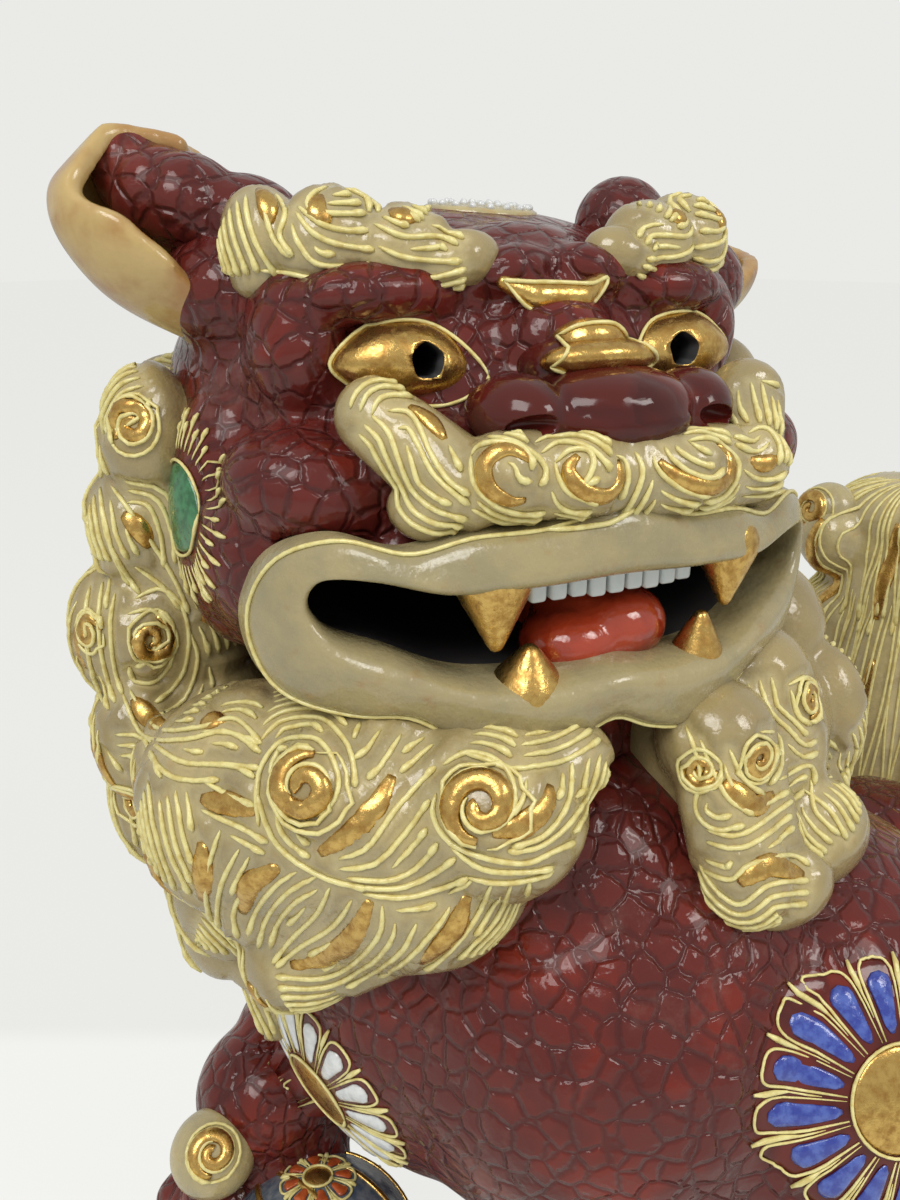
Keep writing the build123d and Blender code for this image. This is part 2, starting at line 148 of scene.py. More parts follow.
# %% The camera
PICTURE = (900, 1200)
FOCUS = 1050
CAMERA_PLACE = (-91.68, 172.16, 20.18)
CAMERA_TILT, CAMERA_SWING = 70.82, -47.53
view = bpy.data.cameras.new("view")
view.sensor_width = 36.0
view.lens = view.sensor_width * FOCUS / PICTURE[1]
camera = bpy.data.objects.new("camera", view)
bpy.context.scene.collection.objects.link(camera)
camera.location = on_head(*CAMERA_PLACE)
camera.rotation_euler = (math.radians(CAMERA_TILT), 0, math.radians(CAMERA_SWING))
bpy.context.scene.camera = camera
TURN = camera.rotation_euler.to_matrix()
EYE = Vector(camera.location)


def sight(across_picture, down_picture):
    """The direction of the line of sight through one place in the picture."""
    aim = Vector((across_picture - PICTURE[0] / 2, PICTURE[1] / 2 - down_picture, -FOCUS))
    return (TURN @ aim).normalized()


print("camera at", [round(c / MM, 1) for c in EYE])

# %% [markdown]
# Finishes are mixed from nodes. One small class wraps a node's output so that shader maths reads
# as ordinary sums, and one method adds any other node with its settings and its sockets.


# %% Sums of shader values
class Flow:
    """A number, colour or direction on its way through the nodes of a finish."""

    def __init__(self, finish, socket):
        self.finish = finish
        self.socket = socket

    def sum(self, operation, *others):
        return self.finish.add("ShaderNodeMath", {"operation": operation}, dict(enumerate((self, *others))))

    def __add__(self, other):
        return self.sum("ADD", other)

    def __mul__(self, other):
        return self.sum("MULTIPLY", other)

    __radd__ = __add__
    __rmul__ = __mul__


# %% [markdown]
# A finish holds one material. Its own helpers are the three things that a glaze needs again and
# again: cloudy noise, a smooth step between two limits, and a blend of two colours. All patterns
# are read in the object's own millimetres, so they stay put when the lion is seen from behind.


# %% Mixing a finish
class Finish:
    """One glaze, enamel or gilding, and the nodes that make it."""

    def __init__(self, name, colour, roughness, **fixed):
        self.material = bpy.data.materials.new(name)
        self.material.use_nodes = True
        self.tree = self.material.node_tree
        self.shader = self.tree.nodes["Principled BSDF"]
        self.shader.inputs["Base Color"].default_value = (*colour, 1)
        self.shader.inputs["Roughness"].default_value = roughness
        for socket, value in fixed.items():
            self.shader.inputs[socket.replace("_", " ")].default_value = value
        self.material.diffuse_color = (*colour, 1)
        self.place = self.add("ShaderNodeTexCoord", {}, {}, "Object")

    def add(self, kind, settings, sockets, out=0):
        """Add a node: its type, then its settings, then the values or flows of its sockets."""
        node = self.tree.nodes.new(kind)
        for key, value in settings.items():
            setattr(node, key, value)
        for key, value in sockets.items():
            if isinstance(value, Flow):
                self.tree.links.new(value.socket, node.inputs[key])
            else:
                node.inputs[key].default_value = value
        return Flow(self, node.outputs[out])

    def feed(self, socket, flow):
        self.tree.links.new(flow.socket, self.shader.inputs[socket])
        return self

    def noise(self, per_mm, detail=3.0, rough=0.55):
        """Cloudy noise, with so many blotches to a millimetre."""
        sockets = {"Vector": self.place, "Scale": per_mm / MM, "Detail": detail, "Roughness": rough}
        return self.add("ShaderNodeTexNoise", {}, sockets)

    def band(self, value, low, high, to_low=0.0, to_high=1.0):
        """A smooth step of a number between two limits."""
        sockets = {"Value": value, "From Min": low, "From Max": high, "To Min": to_low, "To Max": to_high}
        return self.add("ShaderNodeMapRange", {"interpolation_type": "SMOOTHSTEP"}, sockets, "Result")

    def blend(self, share, first, second):
        """A colour part-way between two, by a share from 0 to 1."""
        sockets = {0: share}
        for key, colour in ((6, first), (7, second)):
            sockets[key] = colour if isinstance(colour, Flow) else (*colour, 1)
        return self.add("ShaderNodeMix", {"data_type": "RGBA"}, sockets, 2)

    def relief(self, height, deep_mm):
        """Press a height pattern into the surface, so many millimetres deep."""
        sockets = {"Height": height, "Distance": deep_mm * MM, "Strength": 1.0}
        return self.add("ShaderNodeBump", {}, sockets)


def tint(red, green, blue):
    """A colour as it is seen on a screen, 0 to 255, as the light it stands for."""
    shares = (red / 255, green / 255, blue / 255)
    return tuple(((c + 0.055) / 1.055) ** 2.4 if c > 10 / 255 else c / 12.92 for c in shares)


# %% [markdown]
# The hide is a thick iron-red glaze over a surface that was tooled into flat pebbles before
# firing. The pebbles are cells of a Voronoi pattern: the distance to a cell's edge gives the
# grooves, a second, warped noise makes the cells uneven, and glaze pools darker in the grooves.


# %% Hide glaze
def hide_glaze(name, cell_mm, deep_mm, dust=0.0, shade=1.0):
    """An iron-red glaze over pebbles of one size; dust dulls it, and shade deepens its colour."""
    gloss = {"Specular_IOR_Level": 0.3, "Coat_Weight": 0.22, "Coat_Roughness": 0.05, "IOR": 1.48}
    finish = Finish(name, tint(100, 38, 33), 0.12, **gloss)
    wander = finish.noise(0.05, 3.0)
    cloud = finish.add("ShaderNodeTexNoise", {}, {"Vector": finish.place, "Scale": 0.2 / MM}, "Color")
    sway = {0: cloud, 1: (2.6 * MM, 2.6 * MM, 2.6 * MM), 2: finish.place}
    warp = finish.add("ShaderNodeVectorMath", {"operation": "MULTIPLY_ADD"}, sway)
    cells = {"Vector": warp, "Scale": 1 / (cell_mm * MM), "Randomness": 0.9}
    edge = finish.add("ShaderNodeTexVoronoi", {"feature": "DISTANCE_TO_EDGE"}, cells, "Distance")
    each = finish.add("ShaderNodeTexVoronoi", {"feature": "F1"}, cells, "Color")
    groove = finish.band(edge, 0.0, 0.16)
    tilt = finish.add("ShaderNodeSeparateColor", {}, {"Color": each}, 0)
    height = groove + finish.band(edge, 0.12, 0.45) * 0.3 + tilt * 0.22 + finish.noise(0.4, 2.0) * 0.4
    plain, warm = (tint(*(c * shade for c in colour)) for colour in ((92, 34, 30), (120, 38, 26)))
    body = finish.blend(finish.band(wander, 0.5, 0.7), plain, warm)
    body = finish.blend(finish.band(tilt, 0.55, 0.9) * 0.2, body, tint(126, 42, 30))
    colour = finish.blend(groove * 0.6 + 0.4, tint(66, 26, 25), body)
    if dust:
        grime = finish.band(finish.noise(0.04, 6.0, 0.7), 0.54, 0.74) * dust
        colour = finish.blend(grime, colour, tint(132, 92, 84))
    finish.feed("Base Color", colour)
    finish.feed("Roughness", finish.band(finish.noise(0.35, 4.0), 0.4, 0.75, 0.08, 0.22))
    return finish.feed("Normal", finish.relief(height, deep_mm))


hide = hide_glaze("hide", 5.2, 0.42, 0.5)
smooth_hide = hide_glaze("smooth_hide", 12.0, 0.12)
nose_glaze = hide_glaze("nose_glaze", 12.0, 0.12, 0.0, 0.72)
print("hide glaze has", len(hide.tree.nodes), "nodes")

# %% [markdown]
# The curls, brows and moustache are a translucent cream enamel that turns grey and pearly where
# it is thin. It is darker on the swell of each lock. The clay keeps how far each place is from
# the nearest stroke in an attribute called lock, and the finish reads it.


# %% Cream enamel
def pearl_enamel(name, pale, deep, warm):
    """A pale enamel that clouds towards a deeper tone, with warm stains."""
    finish = Finish(name, pale, 0.22, Coat_Weight=0.5, Coat_Roughness=0.06, IOR=1.5)
    cloud = finish.band(finish.noise(0.09, 4.0), 0.35, 0.68)
    stain = finish.band(finish.noise(0.22, 5.0, 0.65), 0.55, 0.78)
    colour = finish.blend(cloud, pale, deep)
    colour = finish.blend(stain * 0.6, colour, warm)
    swell = finish.add("ShaderNodeAttribute", {"attribute_name": "lock"}, {}, "Fac")
    colour = finish.blend(finish.band(swell, 0.1, 1.0) * 0.6, colour, tint(138, 118, 74))
    finish.feed("Base Color", colour)
    finish.feed("Roughness", finish.band(finish.noise(0.6, 3.0), 0.35, 0.7, 0.16, 0.34))
    return finish.feed("Normal", finish.relief(finish.noise(0.35, 3.0), 0.35))


cream = pearl_enamel("cream", tint(192, 176, 126), tint(166, 154, 116), tint(178, 140, 82))
lip_glaze = pearl_enamel("lip_glaze", tint(166, 152, 110), tint(150, 140, 106), tint(158, 124, 78))
print("cream enamel has", len(cream.tree.nodes), "nodes")

# %% [markdown]
# The painter trailed lines of thick yellow-cream slip over the enamel. The gilding is real metal
# fired at low heat: it is brushy, darker where it pooled, and worn to brown in patches.

# %% Slip and gilding
slip = Finish("slip", tint(230, 218, 150), 0.3, Coat_Weight=0.3, Coat_Roughness=0.1)
slip_cloud = slip.band(slip.noise(0.5, 4.0), 0.4, 0.7)
slip.feed("Base Color", slip.blend(slip_cloud, tint(232, 221, 152), tint(212, 194, 118)))
slip.feed("Normal", slip.relief(slip.noise(0.9, 3.0), 0.2))
gilt = Finish("gilt", tint(196, 156, 84), 0.28, Metallic=0.9)
brushed = gilt.band(gilt.noise(0.45, 6.0, 0.7), 0.35, 0.7)
worn_gilt = gilt.band(gilt.noise(0.9, 6.0, 0.75), 0.6, 0.7)
gilt_colour = gilt.blend(brushed, tint(220, 184, 108), tint(172, 130, 68))
gilt.feed("Base Color", gilt.blend(worn_gilt * 0.7, gilt_colour, tint(132, 94, 54)))
gilt.feed("Roughness", gilt.band(brushed, 0.0, 1.0, 0.2, 0.42))
gilt.feed("Metallic", gilt.band(worn_gilt, 0.0, 1.0, 0.95, 0.35))
gilt.feed("Normal", gilt.relief(gilt.noise(0.7, 5.0), 0.14))
print("gilding has", len(gilt.tree.nodes), "nodes")

# %% [markdown]
# The ears are a warm tan, the teeth a cold white, the tongue a wet red. The inside of the head is
# painted nearly black as painted shade, so that the mouth and the pupils read as holes.

# %% Ear, teeth, tongue and the painted shade inside
ear_tan = Finish("ear_tan", tint(186, 156, 98), 0.24, Coat_Weight=0.4, Coat_Roughness=0.08)
ear_cloud = ear_tan.band(ear_tan.noise(0.07, 4.0), 0.4, 0.66)
ear_tan.feed("Base Color", ear_tan.blend(ear_cloud, tint(192, 164, 106), tint(168, 124, 70)))
ear_tan.feed("Normal", ear_tan.relief(ear_tan.noise(0.25, 3.0), 0.3))
tooth_glaze = Finish("tooth_glaze", tint(206, 212, 212), 0.2, Coat_Weight=0.5)
tooth_colour = tooth_glaze.blend(tooth_glaze.noise(0.4), tint(214, 218, 216), tint(190, 200, 204))
tooth_glaze.feed("Base Color", tooth_colour)
tongue_glaze = Finish("tongue_glaze", tint(170, 52, 34), 0.14, Coat_Weight=0.7, Coat_Roughness=0.04)
tongue_cloud = tongue_glaze.band(tongue_glaze.noise(0.14, 4.0), 0.35, 0.7)
tongue_glaze.feed("Base Color", tongue_glaze.blend(tongue_cloud, tint(174, 62, 34), tint(132, 40, 24)))
tongue_glaze.feed("Normal", tongue_glaze.relief(tongue_glaze.noise(0.3, 3.0), 0.4))
# Painted shade: the walls of the mouth and of the pupil holes are coloured near black, where the hollow head
# is only dark from shade.
painted_shade_inside = Finish("painted_shade_inside", tint(16, 15, 17), 0.6)
painted_shade_inside.feed("Base Color", painted_shade_inside.blend(painted_shade_inside.noise(0.3), tint(12, 12, 14), tint(30, 27, 28)))
print("tongue glaze has", len(tongue_glaze.tree.nodes), "nodes")

# %% [markdown]
# The petals and the brocade ball are painted in coloured enamels, which all behave alike: they
# are glassy and darker where they lie thick. One function mixes them.


# %% Coloured enamels
def enamel(name, thick, thin):
    """A coloured enamel that is darker where it lies thick."""
    finish = Finish(name, thick, 0.16, Coat_Weight=0.5, Coat_Roughness=0.05)
    finish.feed("Base Color", finish.blend(finish.band(finish.noise(0.5, 4.0), 0.35, 0.65), thick, thin))
    return finish.feed("Normal", finish.relief(finish.noise(0.6, 3.0), 0.25))


blue = enamel("blue", tint(44, 60, 150), tint(76, 98, 178))
white = enamel("white", tint(226, 228, 228), tint(208, 212, 214))
green = enamel("green", tint(40, 96, 58), tint(64, 128, 84))
slate = enamel("slate", tint(74, 86, 104), tint(110, 116, 124))
orange = enamel("orange", tint(186, 88, 40), tint(160, 70, 36))
print("finishes:", ", ".join(m.name for m in bpy.data.materials))

# %% [markdown]
# Every piece starts as a bmesh, Blender's workable mesh, and ends as an object with its finish.
# Modifiers are baked in as soon as they have done their work, so that later steps can land paint
# on the true surface.


# %% Making a piece
def settle(piece, finish=None):
    """Bake a piece's modifiers into its mesh."""
    bpy.context.view_layer.update()
    ready = piece.evaluated_get(bpy.context.evaluated_depsgraph_get())
    mesh = bpy.data.meshes.new_from_object(ready)
    piece.modifiers.clear()
    piece.data = mesh
    if finish:
        mesh.materials.clear()
        mesh.materials.append(finish.material)
    return piece


def piece_of(name, soft, finish=None):
    """Turn worked clay, a bmesh, into a named piece."""
    bmesh.ops.recalc_face_normals(soft, faces=soft.faces)
    mesh = bpy.data.meshes.new(name)
    soft.to_mesh(mesh)
    soft.free()
    mesh.polygons.foreach_set("use_smooth", [True] * len(mesh.polygons))
    if finish:
        mesh.materials.append(finish.material)
    piece = bpy.data.objects.new(name, mesh)
    bpy.context.scene.collection.objects.link(piece)
    return piece


# %% [markdown]
# Soft forms start from two simple bits of clay. An egg is a round ball pulled to three sizes. A
# bar is rolled between the palms: it has domed ends and may taper, and is the hull of two balls.


# %% Eggs and bars of clay
def lump(soft, at, size, turn=(0, 0, 0), frame_of=HEAD_FRAME, fine=4):
    """Add one egg of clay. On the head a place is left, ahead and up of the pupils' middle."""
    if frame_of is HEAD_FRAME:
        at = (at[0], -at[1], at[2])
    turned = Euler([math.radians(angle) for angle in turn]).to_matrix().to_4x4()
    egg = frame_of @ Matrix.Translation(at) @ turned @ Matrix.Diagonal((*size, 1))
    bmesh.ops.create_icosphere(soft, subdivisions=fine, radius=1, matrix=egg)


def bar(soft, start, end, thick, thin=None, frame_of=HEAD_FRAME):
    """Add one rolled bar of clay with domed ends, tapering if it is given a second radius."""
    knobs = bmesh.new()
    for at, radius in ((start, thick), (end, thick if thin is None else thin)):
        lump(knobs, at, (radius, radius, radius), frame_of=frame_of, fine=3)
    bmesh.ops.convex_hull(knobs, input=knobs.verts)
    for v in [v for v in knobs.verts if not v.link_faces]:
        knobs.verts.remove(v)
    rolled = bpy.data.meshes.new("rolled")
    knobs.to_mesh(rolled)
    knobs.free()
    soft.from_mesh(rolled)
    bpy.data.meshes.remove(rolled)


# %% [markdown]
# The face is nearly the same on both sides, so the lumps of one side are mirrored to the other.


# %% Both sides of the face
def other_side(lumps):
    """The same lumps on the other side of the face."""
    flipped = []
    for first, second, *rest in lumps:
        if rest and not isinstance(rest[0], tuple):
            flipped.append(((-first[0], *first[1:]), (-second[0], *second[1:]), *rest))
        else:
            turn = rest[0] if rest else (0, 0, 0)
            flipped.append(((-first[0], *first[1:]), second, (turn[0], -turn[1], -turn[2])))
    return flipped


def both_sides(lumps):
    return lumps + other_side(lumps)


# %% [markdown]
# Soft clay forms are made as a potter makes them: lumps are pressed together, the whole is
# closed into one skin, and then it is rubbed smooth. A voxel remesh makes the skin and a smooth
# takes away the joins, so a cheek runs into a jaw without a seam. Holes are cut with a tool.


# %% Pressing lumps together, and cutting them
def clay(name, lumps, finish, grain=1.2, rub=8, frame_of=HEAD_FRAME):
    """Press lumps into one skin, with a grain in millimetres, and rub it smooth."""
    soft = bmesh.new()
    for first, second, *rest in lumps:
        if rest and not isinstance(rest[0], tuple):
            bar(soft, first, second, *rest, frame_of=frame_of)
        else:
            lump(soft, first, second, rest[0] if rest else (0, 0, 0), frame_of)
    piece = piece_of(name, soft)
    skin = piece.modifiers.new("skin", "REMESH")
    skin.mode = "VOXEL"
    skin.voxel_size = grain * MM
    skin.use_smooth_shade = True
    rubbed = piece.modifiers.new("rub", "SMOOTH")
    rubbed.factor = 0.6
    rubbed.iterations = rub
    settle(piece, finish)
    print(name, len(piece.data.polygons), "faces")
    return piece


def cut(piece, tool):
    """Cut a tool's shape out of a piece, and throw the tool away."""
    bite = piece.modifiers.new("bite", "BOOLEAN")
    bite.operation = "DIFFERENCE"
    bite.solver = "EXACT"
    bite.object = tool
    bite.material_mode = "TRANSFER"
    settle(piece)
    bpy.data.objects.remove(tool)
    return piece


# %% [markdown]
# The head's casting is built from eggs: skull, muzzle and jaw first, then the brow ridges over
# the eyes, the bags of the cheeks, the frown lumps and the bridge of the nose.

# %% The head's casting
skull_lumps = [
    ((0, -46, -10), (62, 52, 36)),
    ((0, -52, -42), (60, 44, 40)),
    ((0, -24, -44), (60, 46, 30)),
    ((0, -20, -52), (55, 45, 25)),
    ((1, -19, 15), (16, 14, 8)),
    ((0, -2, 2), (12, 12, 10)),
    ((0, 3, -10), (18, 12, 9)),
    ((0, -16, -74), (2, -10, -104), 30, 30),
    ((-7.5, -4, 14.5), (8.5, 6, 4.6), (0, -12, 0)),
    ((9, -4, 14.5), (8.5, 6, 4.6), (0, 12, 0)),
    ((-27, -8, 11), (19, 9, 6), (0, 0, 14)),
    ((23, -8, 11), (16, 9, 6), (0, 0, -14)),
    ((-44, -15, 2), (9, 12, 14)),
    ((39, -15, 2), (8, 12, 14)),
] + both_sides([
    ((-54, -29, -32), (12, 14, 27)),
    ((-41, -9, -24), (20, 17, 12), (0, 18, 14)),
    ((-27, 1, -15), (12, 11, 7)),
    ((-49, -18, -36), (15, 18, 18)),
    ((-50, -36, 10), (14, 16, 12)),
])
head_hide = clay("head_hide", skull_lumps, hide, 1.1, 26)

# %% [markdown]
# Flowing lines are drawn through a few points and then divided evenly, so that a swept skin has
# faces of one size. The same two helpers draw the mouth, the ears and all the painted strokes.


# %% Flowing lines
def smooth_path(points, closed=False, per=8):
    """A Catmull-Rom curve through some points, of any size."""
    points = [Vector(p) for p in points]
    count = len(points)
    path = []
    for i in range(count if closed else count - 1):
        if closed:
            a, b, c, d = (points[(i + k) % count] for k in (-1, 0, 1, 2))
        else:
            a, b, c, d = (points[min(max(i + k, 0), count - 1)] for k in (-1, 0, 1, 2))
        bend, twist = 2 * a - 5 * b + 4 * c - d, 3 * b - a - 3 * c + d
        for step in range(per):
            t = step / per
            path.append(0.5 * (2 * b + (c - a) * t + bend * t**2 + twist * t**3))
    if not closed:
        path.append(points[-1])
    return path


def evenly(path, count, closed=True):
    """The same line, divided into equal steps."""
    ring = path + [path[0]] if closed else path
    lengths = [0.0]
    for a, b in zip(ring, ring[1:]):
        lengths.append(lengths[-1] + (b - a).length)
    out = []
    k = 0
    for i in range(count):
        want = lengths[-1] * i / (count if closed else count - 1)
        while k < len(lengths) - 2 and lengths[k + 1] < want:
            k += 1
        share = (want - lengths[k]) / max(lengths[k + 1] - lengths[k], 1e-9)
        out.append(ring[k].lerp(ring[k + 1], share))
    return out


# %% [markdown]
# The mouth is cut right into the hollow head. Its edge is drawn as a closed outline, given from
# the middle to one corner and mirrored, as left and up of the pupils' middle. The lip's outer
# edge is drawn in the same way, and both are divided into the same number of steps.

# %% Outlines of the mouth and the lips
MOUTH_EDGE = [(0, -34), (18, -35), (30, -35.5), (40, -33.5), (47.5, -33), (50, -38.5), (46, -44.5),
              (37, -47.5), (26, -51.5), (12, -52), (0, -50.5)]
LIP_EDGE = [(0, -21.5), (14, -24.5), (26, -25.5), (36, -28.5), (46, -26.5), (55, -31.5), (59, -44),
            (55.5, -55.5), (45, -58.5), (36, -58), (28, -62.5), (18, -66.5), (8, -64.5), (0, -61)]
RING = 160


def whole_ring(half):
    """A closed outline from its left half: the middle, the corner and back to the middle."""
    return half + [(-left, up) for left, up in reversed(half[1:-1])]


mouth_ring = evenly(smooth_path(whole_ring(MOUTH_EDGE), True), RING)
lip_ring = evenly(smooth_path(whole_ring(LIP_EDGE), True), RING)
print("mouth outline", len(mouth_ring), "steps, lip outline", len(lip_ring), "steps")

# %% [markdown]
# The tool that cuts the mouth is a plug: the outline repeated at five depths, a little wider in
# the middle and narrower at the throat, and closed at both ends. The cut walls take its near-black
# finish, which is painted shade.

# %% The open mouth
MOUTH_MIDDLE = -42
MOUTH_DEPTHS = ((60, 1.0), (0, 1.0), (-20, 1.05), (-45, 1.0), (-60, 0.8))
hollow = bmesh.new()
rings = []
for ahead, swell in MOUTH_DEPTHS:
    ring = [on_head(p.x * swell, ahead, (p.y - MOUTH_MIDDLE) * swell + MOUTH_MIDDLE) for p in mouth_ring]
    rings.append([hollow.verts.new(place) for place in ring])
for near, far in zip(rings, rings[1:]):
    for i in range(RING):
        j = (i + 1) % RING
        hollow.faces.new((near[i], near[j], far[j], far[i]))
hollow.faces.new(rings[0])
hollow.faces.new(list(reversed(rings[-1])))
# The cut walls take the tool's near-black painted shade.
cut(head_hide, piece_of("mouth_tool", hollow, painted_shade_inside))
print("head", len(head_hide.data.polygons), "faces,", [m.name for m in head_hide.data.materials])

# %% [markdown]
# Round the opening runs a thick rounded lip. It is one skin swept round the mouth: at each
# place a section goes from the outer edge, up over the swell of the lip and down inside. The
# section is a share of the way from the outer to the inner outline, and a rise above the muzzle.

# %% The lips
LIP_SECTION = ((0.0, -4.0), (0.02, 0.0), (0.10, 2.2), (0.26, 3.4), (0.5, 4.0), (0.7, 4.8),
               (0.86, 4.4), (0.97, 2.6), (1.03, -0.5), (1.04, -4.0), (1.0, -9.0))


def face_front(left, wide=70.0, deep=56.0, centre=-24.0):
    """How far ahead the rounded front of the muzzle is, so far to the left."""
    return centre + deep * math.sqrt(max(0.0, 1 - (left / wide) ** 2))


def lip_bed(p):
    """How far ahead the bed of the lip lies at a place of its outline."""
    return face_front(p.x, 67, 53) - 3.0


lips = bmesh.new()
lip_skin = []
for outer, inner in zip(lip_ring, mouth_ring):
    row = []
    for share, rise in LIP_SECTION:
        p = outer.lerp(inner, share)
        row.append(lips.verts.new(on_head(p.x, lip_bed(p) + rise, p.y)))
    lip_skin.append(row)
for i in range(RING):
    j = (i + 1) % RING
    for k in range(len(LIP_SECTION) - 1):
        lips.faces.new((lip_skin[i][k], lip_skin[j][k], lip_skin[j][k + 1], lip_skin[i][k + 1]))
lip_piece = piece_of("lips", lips, lip_glaze)
lip_piece.modifiers.new("round", "SUBSURF").levels = 1
settle(lip_piece)
print("lips", len(lip_piece.data.polygons), "faces")

# %% [markdown]
# Painted and gilded details are laid on the finished clay. A landing tree is a fast index of the
# clay's faces: it finds where a line of sight meets the clay, and which way is outward there.


# %% Landing on the clay
def landing_tree(*pieces):
    """An index of the faces of some pieces."""
    soft = bmesh.new()
    for piece in pieces:
        soft.from_mesh(piece.data)
    tree = BVHTree.FromBMesh(soft)
    soft.free()
    return tree


def land(tree, spot):
    """Where the line of sight through a place in the picture meets the clay, and which way is out."""
    place, out, _, _ = tree.ray_cast(EYE, sight(*spot))
    if place is None:
        return None
    return place, (out if out.dot(EYE - place) > 0 else -out)


def rested(path):
    """Even out the outward directions along a path."""
    last = len(path) - 1
    return [
        (place, (path[max(i - 1, 0)][1] + out * 2 + path[min(i + 1, last)][1]).normalized())
        for i, (place, out) in enumerate(path)
    ]


def landed_path(tree, spots, step=4.5, reach=9.0):
    """A line of places and outward directions for a line drawn in the picture."""
    line = smooth_path([(*spot, 0) for spot in spots])
    length = sum((b - a).length for a, b in zip(line, line[1:]))
    path = []
    for spot in evenly(line, max(4, int(length / step)), False):
        found = land(tree, (spot.x, spot.y))
        if found and (not path or (found[0] - path[-1][0]).length < reach * MM):
            path.append(found)
    return rested(path)


# %% [markdown]
# A path that has landed can be used again: taken across to the other side of the face, dropped
# onto clay that has swollen since, or tested for how much of it the camera sees.


# %% Using a path again
def mirrored(path):
    """A path on the other side of the face."""
    crossed = []
    for place, out in path:
        home = across(place)
        crossed.append((home, (across(place + out * MM) - home).normalized()))
    return crossed


def lay_on(tree, path, reach=6.0):
    """Drop a path onto the nearest clay, leaving off what lies far from it."""
    laid = []
    for place, out in path:
        found, away, _, gap = tree.find_nearest(place)
        if gap < reach * MM:
            laid.append((found, (away if away.dot(out) > 0 else -away).normalized()))
    return rested(laid)


def in_sight(tree, path):
    """The share of a path's places that the camera sees."""
    seen = 0
    for place, out in path:
        hit = tree.ray_cast(EYE, (place - EYE).normalized())[0]
        seen += hit is not None and (hit - place).length < 2 * MM
    return seen / max(len(path), 1)


# %% [markdown]
# Slip is squeezed from a nozzle. Each bead is a round tube that starts fine, swells, and ends in
# a drop, as slip does when the nozzle lifts. A gold leaf is the same tube laid flat and wide.


# %% Squeezing beads and laying leaves
class Trails:
    """Beads and leaves laid on the clay, gathered into one piece."""

    def __init__(self, name, finish):
        self.name = name
        self.finish = finish
        self.soft = bmesh.new()

    def tube(self, path, sizes, flat=1.0, sink=0.6, sides=6):
        """A round skin along a path, with a radius in millimetres at each place."""
        rings = []
        last = len(path) - 1
        for i, (place, out) in enumerate(path):
            along = (path[min(i + 1, last)][0] - path[max(i - 1, 0)][0]).normalized()
            side = out.cross(along).normalized()
            size = sizes[i] * MM
            heart = place + out * size * flat * sink
            ring = []
            for k in range(sides):
                angle = 2 * math.pi * k / sides
                way = side * math.cos(angle) + out * math.sin(angle) * flat
                ring.append(self.soft.verts.new(heart + way * size))
            rings.append(ring)
        for a, b in zip(rings, rings[1:]):
            for k in range(sides):
                m = (k + 1) % sides
                self.soft.faces.new((a[k], a[m], b[m], b[k]))
        self.soft.faces.new(rings[0])
        self.soft.faces.new(list(reversed(rings[-1])))

    def bead(self, path, radius=0.55, drop=1.3):
        """Squeeze one bead: it starts fine and ends in a drop."""
        if len(path) < 4:
            return
        last = len(path) - 1
        sizes = []
        for i in range(last + 1):
            size = radius * (0.94 + 0.12 * random.random())
            if i < 4:
                size *= 0.55 + 0.12 * i
            if last - i < 3:
                size *= drop
            if i in (0, last):
                size *= 0.5
            sizes.append(size)
        self.tube(path, sizes)

    def leaf(self, path, width, high=0.8, shape=None):
        """Lay a flat, domed leaf along a path: narrow at both ends and wide in its middle, or to a shape."""
        if len(path) < 4:
            return
        last = len(path) - 1
        shape = shape or (lambda t: max(0.2, math.sin(math.pi * (0.06 + 0.88 * t)) ** 0.6))
        sizes = [width / 2 * shape(i / last) for i in range(last + 1)]
        self.tube(path, sizes, high / (width / 2), 0.15, 12)

    def ready(self):
        piece = piece_of(self.name, self.soft, self.finish)
        print(self.name, len(piece.data.polygons), "faces")
        return piece


random.seed(7)

# %% [markdown]
# The eyes are gilded almonds with a pierced pupil. The almond is an egg drawn out to its two
# corners, and the pupil is a hole cut through it into the head, walled in near-black painted shade.


# %% Eyes
EYE_APART = 26.6


def almond(name, side):
    """A gilt almond, side -1 on the lion's right and 1 on its left, that slopes up outwards."""
    soft = bmesh.new()
    bmesh.ops.create_uvsphere(soft, u_segments=48, v_segments=32, radius=1)
    for v in soft.verts:
        pinch = 1 - 0.42 * abs(v.co.x) ** 3
        x, y, z = v.co.x * 14.2, v.co.y * 9.5, v.co.z * 7.3 * pinch
        z += 0.10 * x * side - 0.008 * x**2
        v.co = on_head(side * EYE_APART + x, -5.5 - y, -0.6 + z)
    return piece_of(name, soft, gilt)


def pupil_tool(side):
    """A wobbly round punch for one pupil."""
    soft = bmesh.new()
    bmesh.ops.create_cone(soft, cap_ends=True, segments=36, radius1=3.0, radius2=3.0, depth=40)
    for v in soft.verts:
        wobble = 1 + 0.04 * math.sin(5 * math.atan2(v.co.y, v.co.x))
        v.co = on_head(side * 25.7 + v.co.x * wobble, -8 + v.co.z, v.co.y * wobble)
    # The punch lays the near-black painted shade on the walls of the hole that it cuts.
    return piece_of("pupil_tool", soft, painted_shade_inside)


eyes = {}
for side, word in ((-1, "right"), (1, "left")):
    eyes[word] = almond(f"eye_{word}", side)
    cut(eyes[word], pupil_tool(side))
    cut(head_hide, pupil_tool(side))
    print("eye", word, len(eyes[word].data.polygons), "faces")

# %% [markdown]
# The nose is broad and flat, with its wings curled round deep nostrils. It is pressed from
# lumps and the nostrils are scooped out. A gilt cap sits on its bridge.

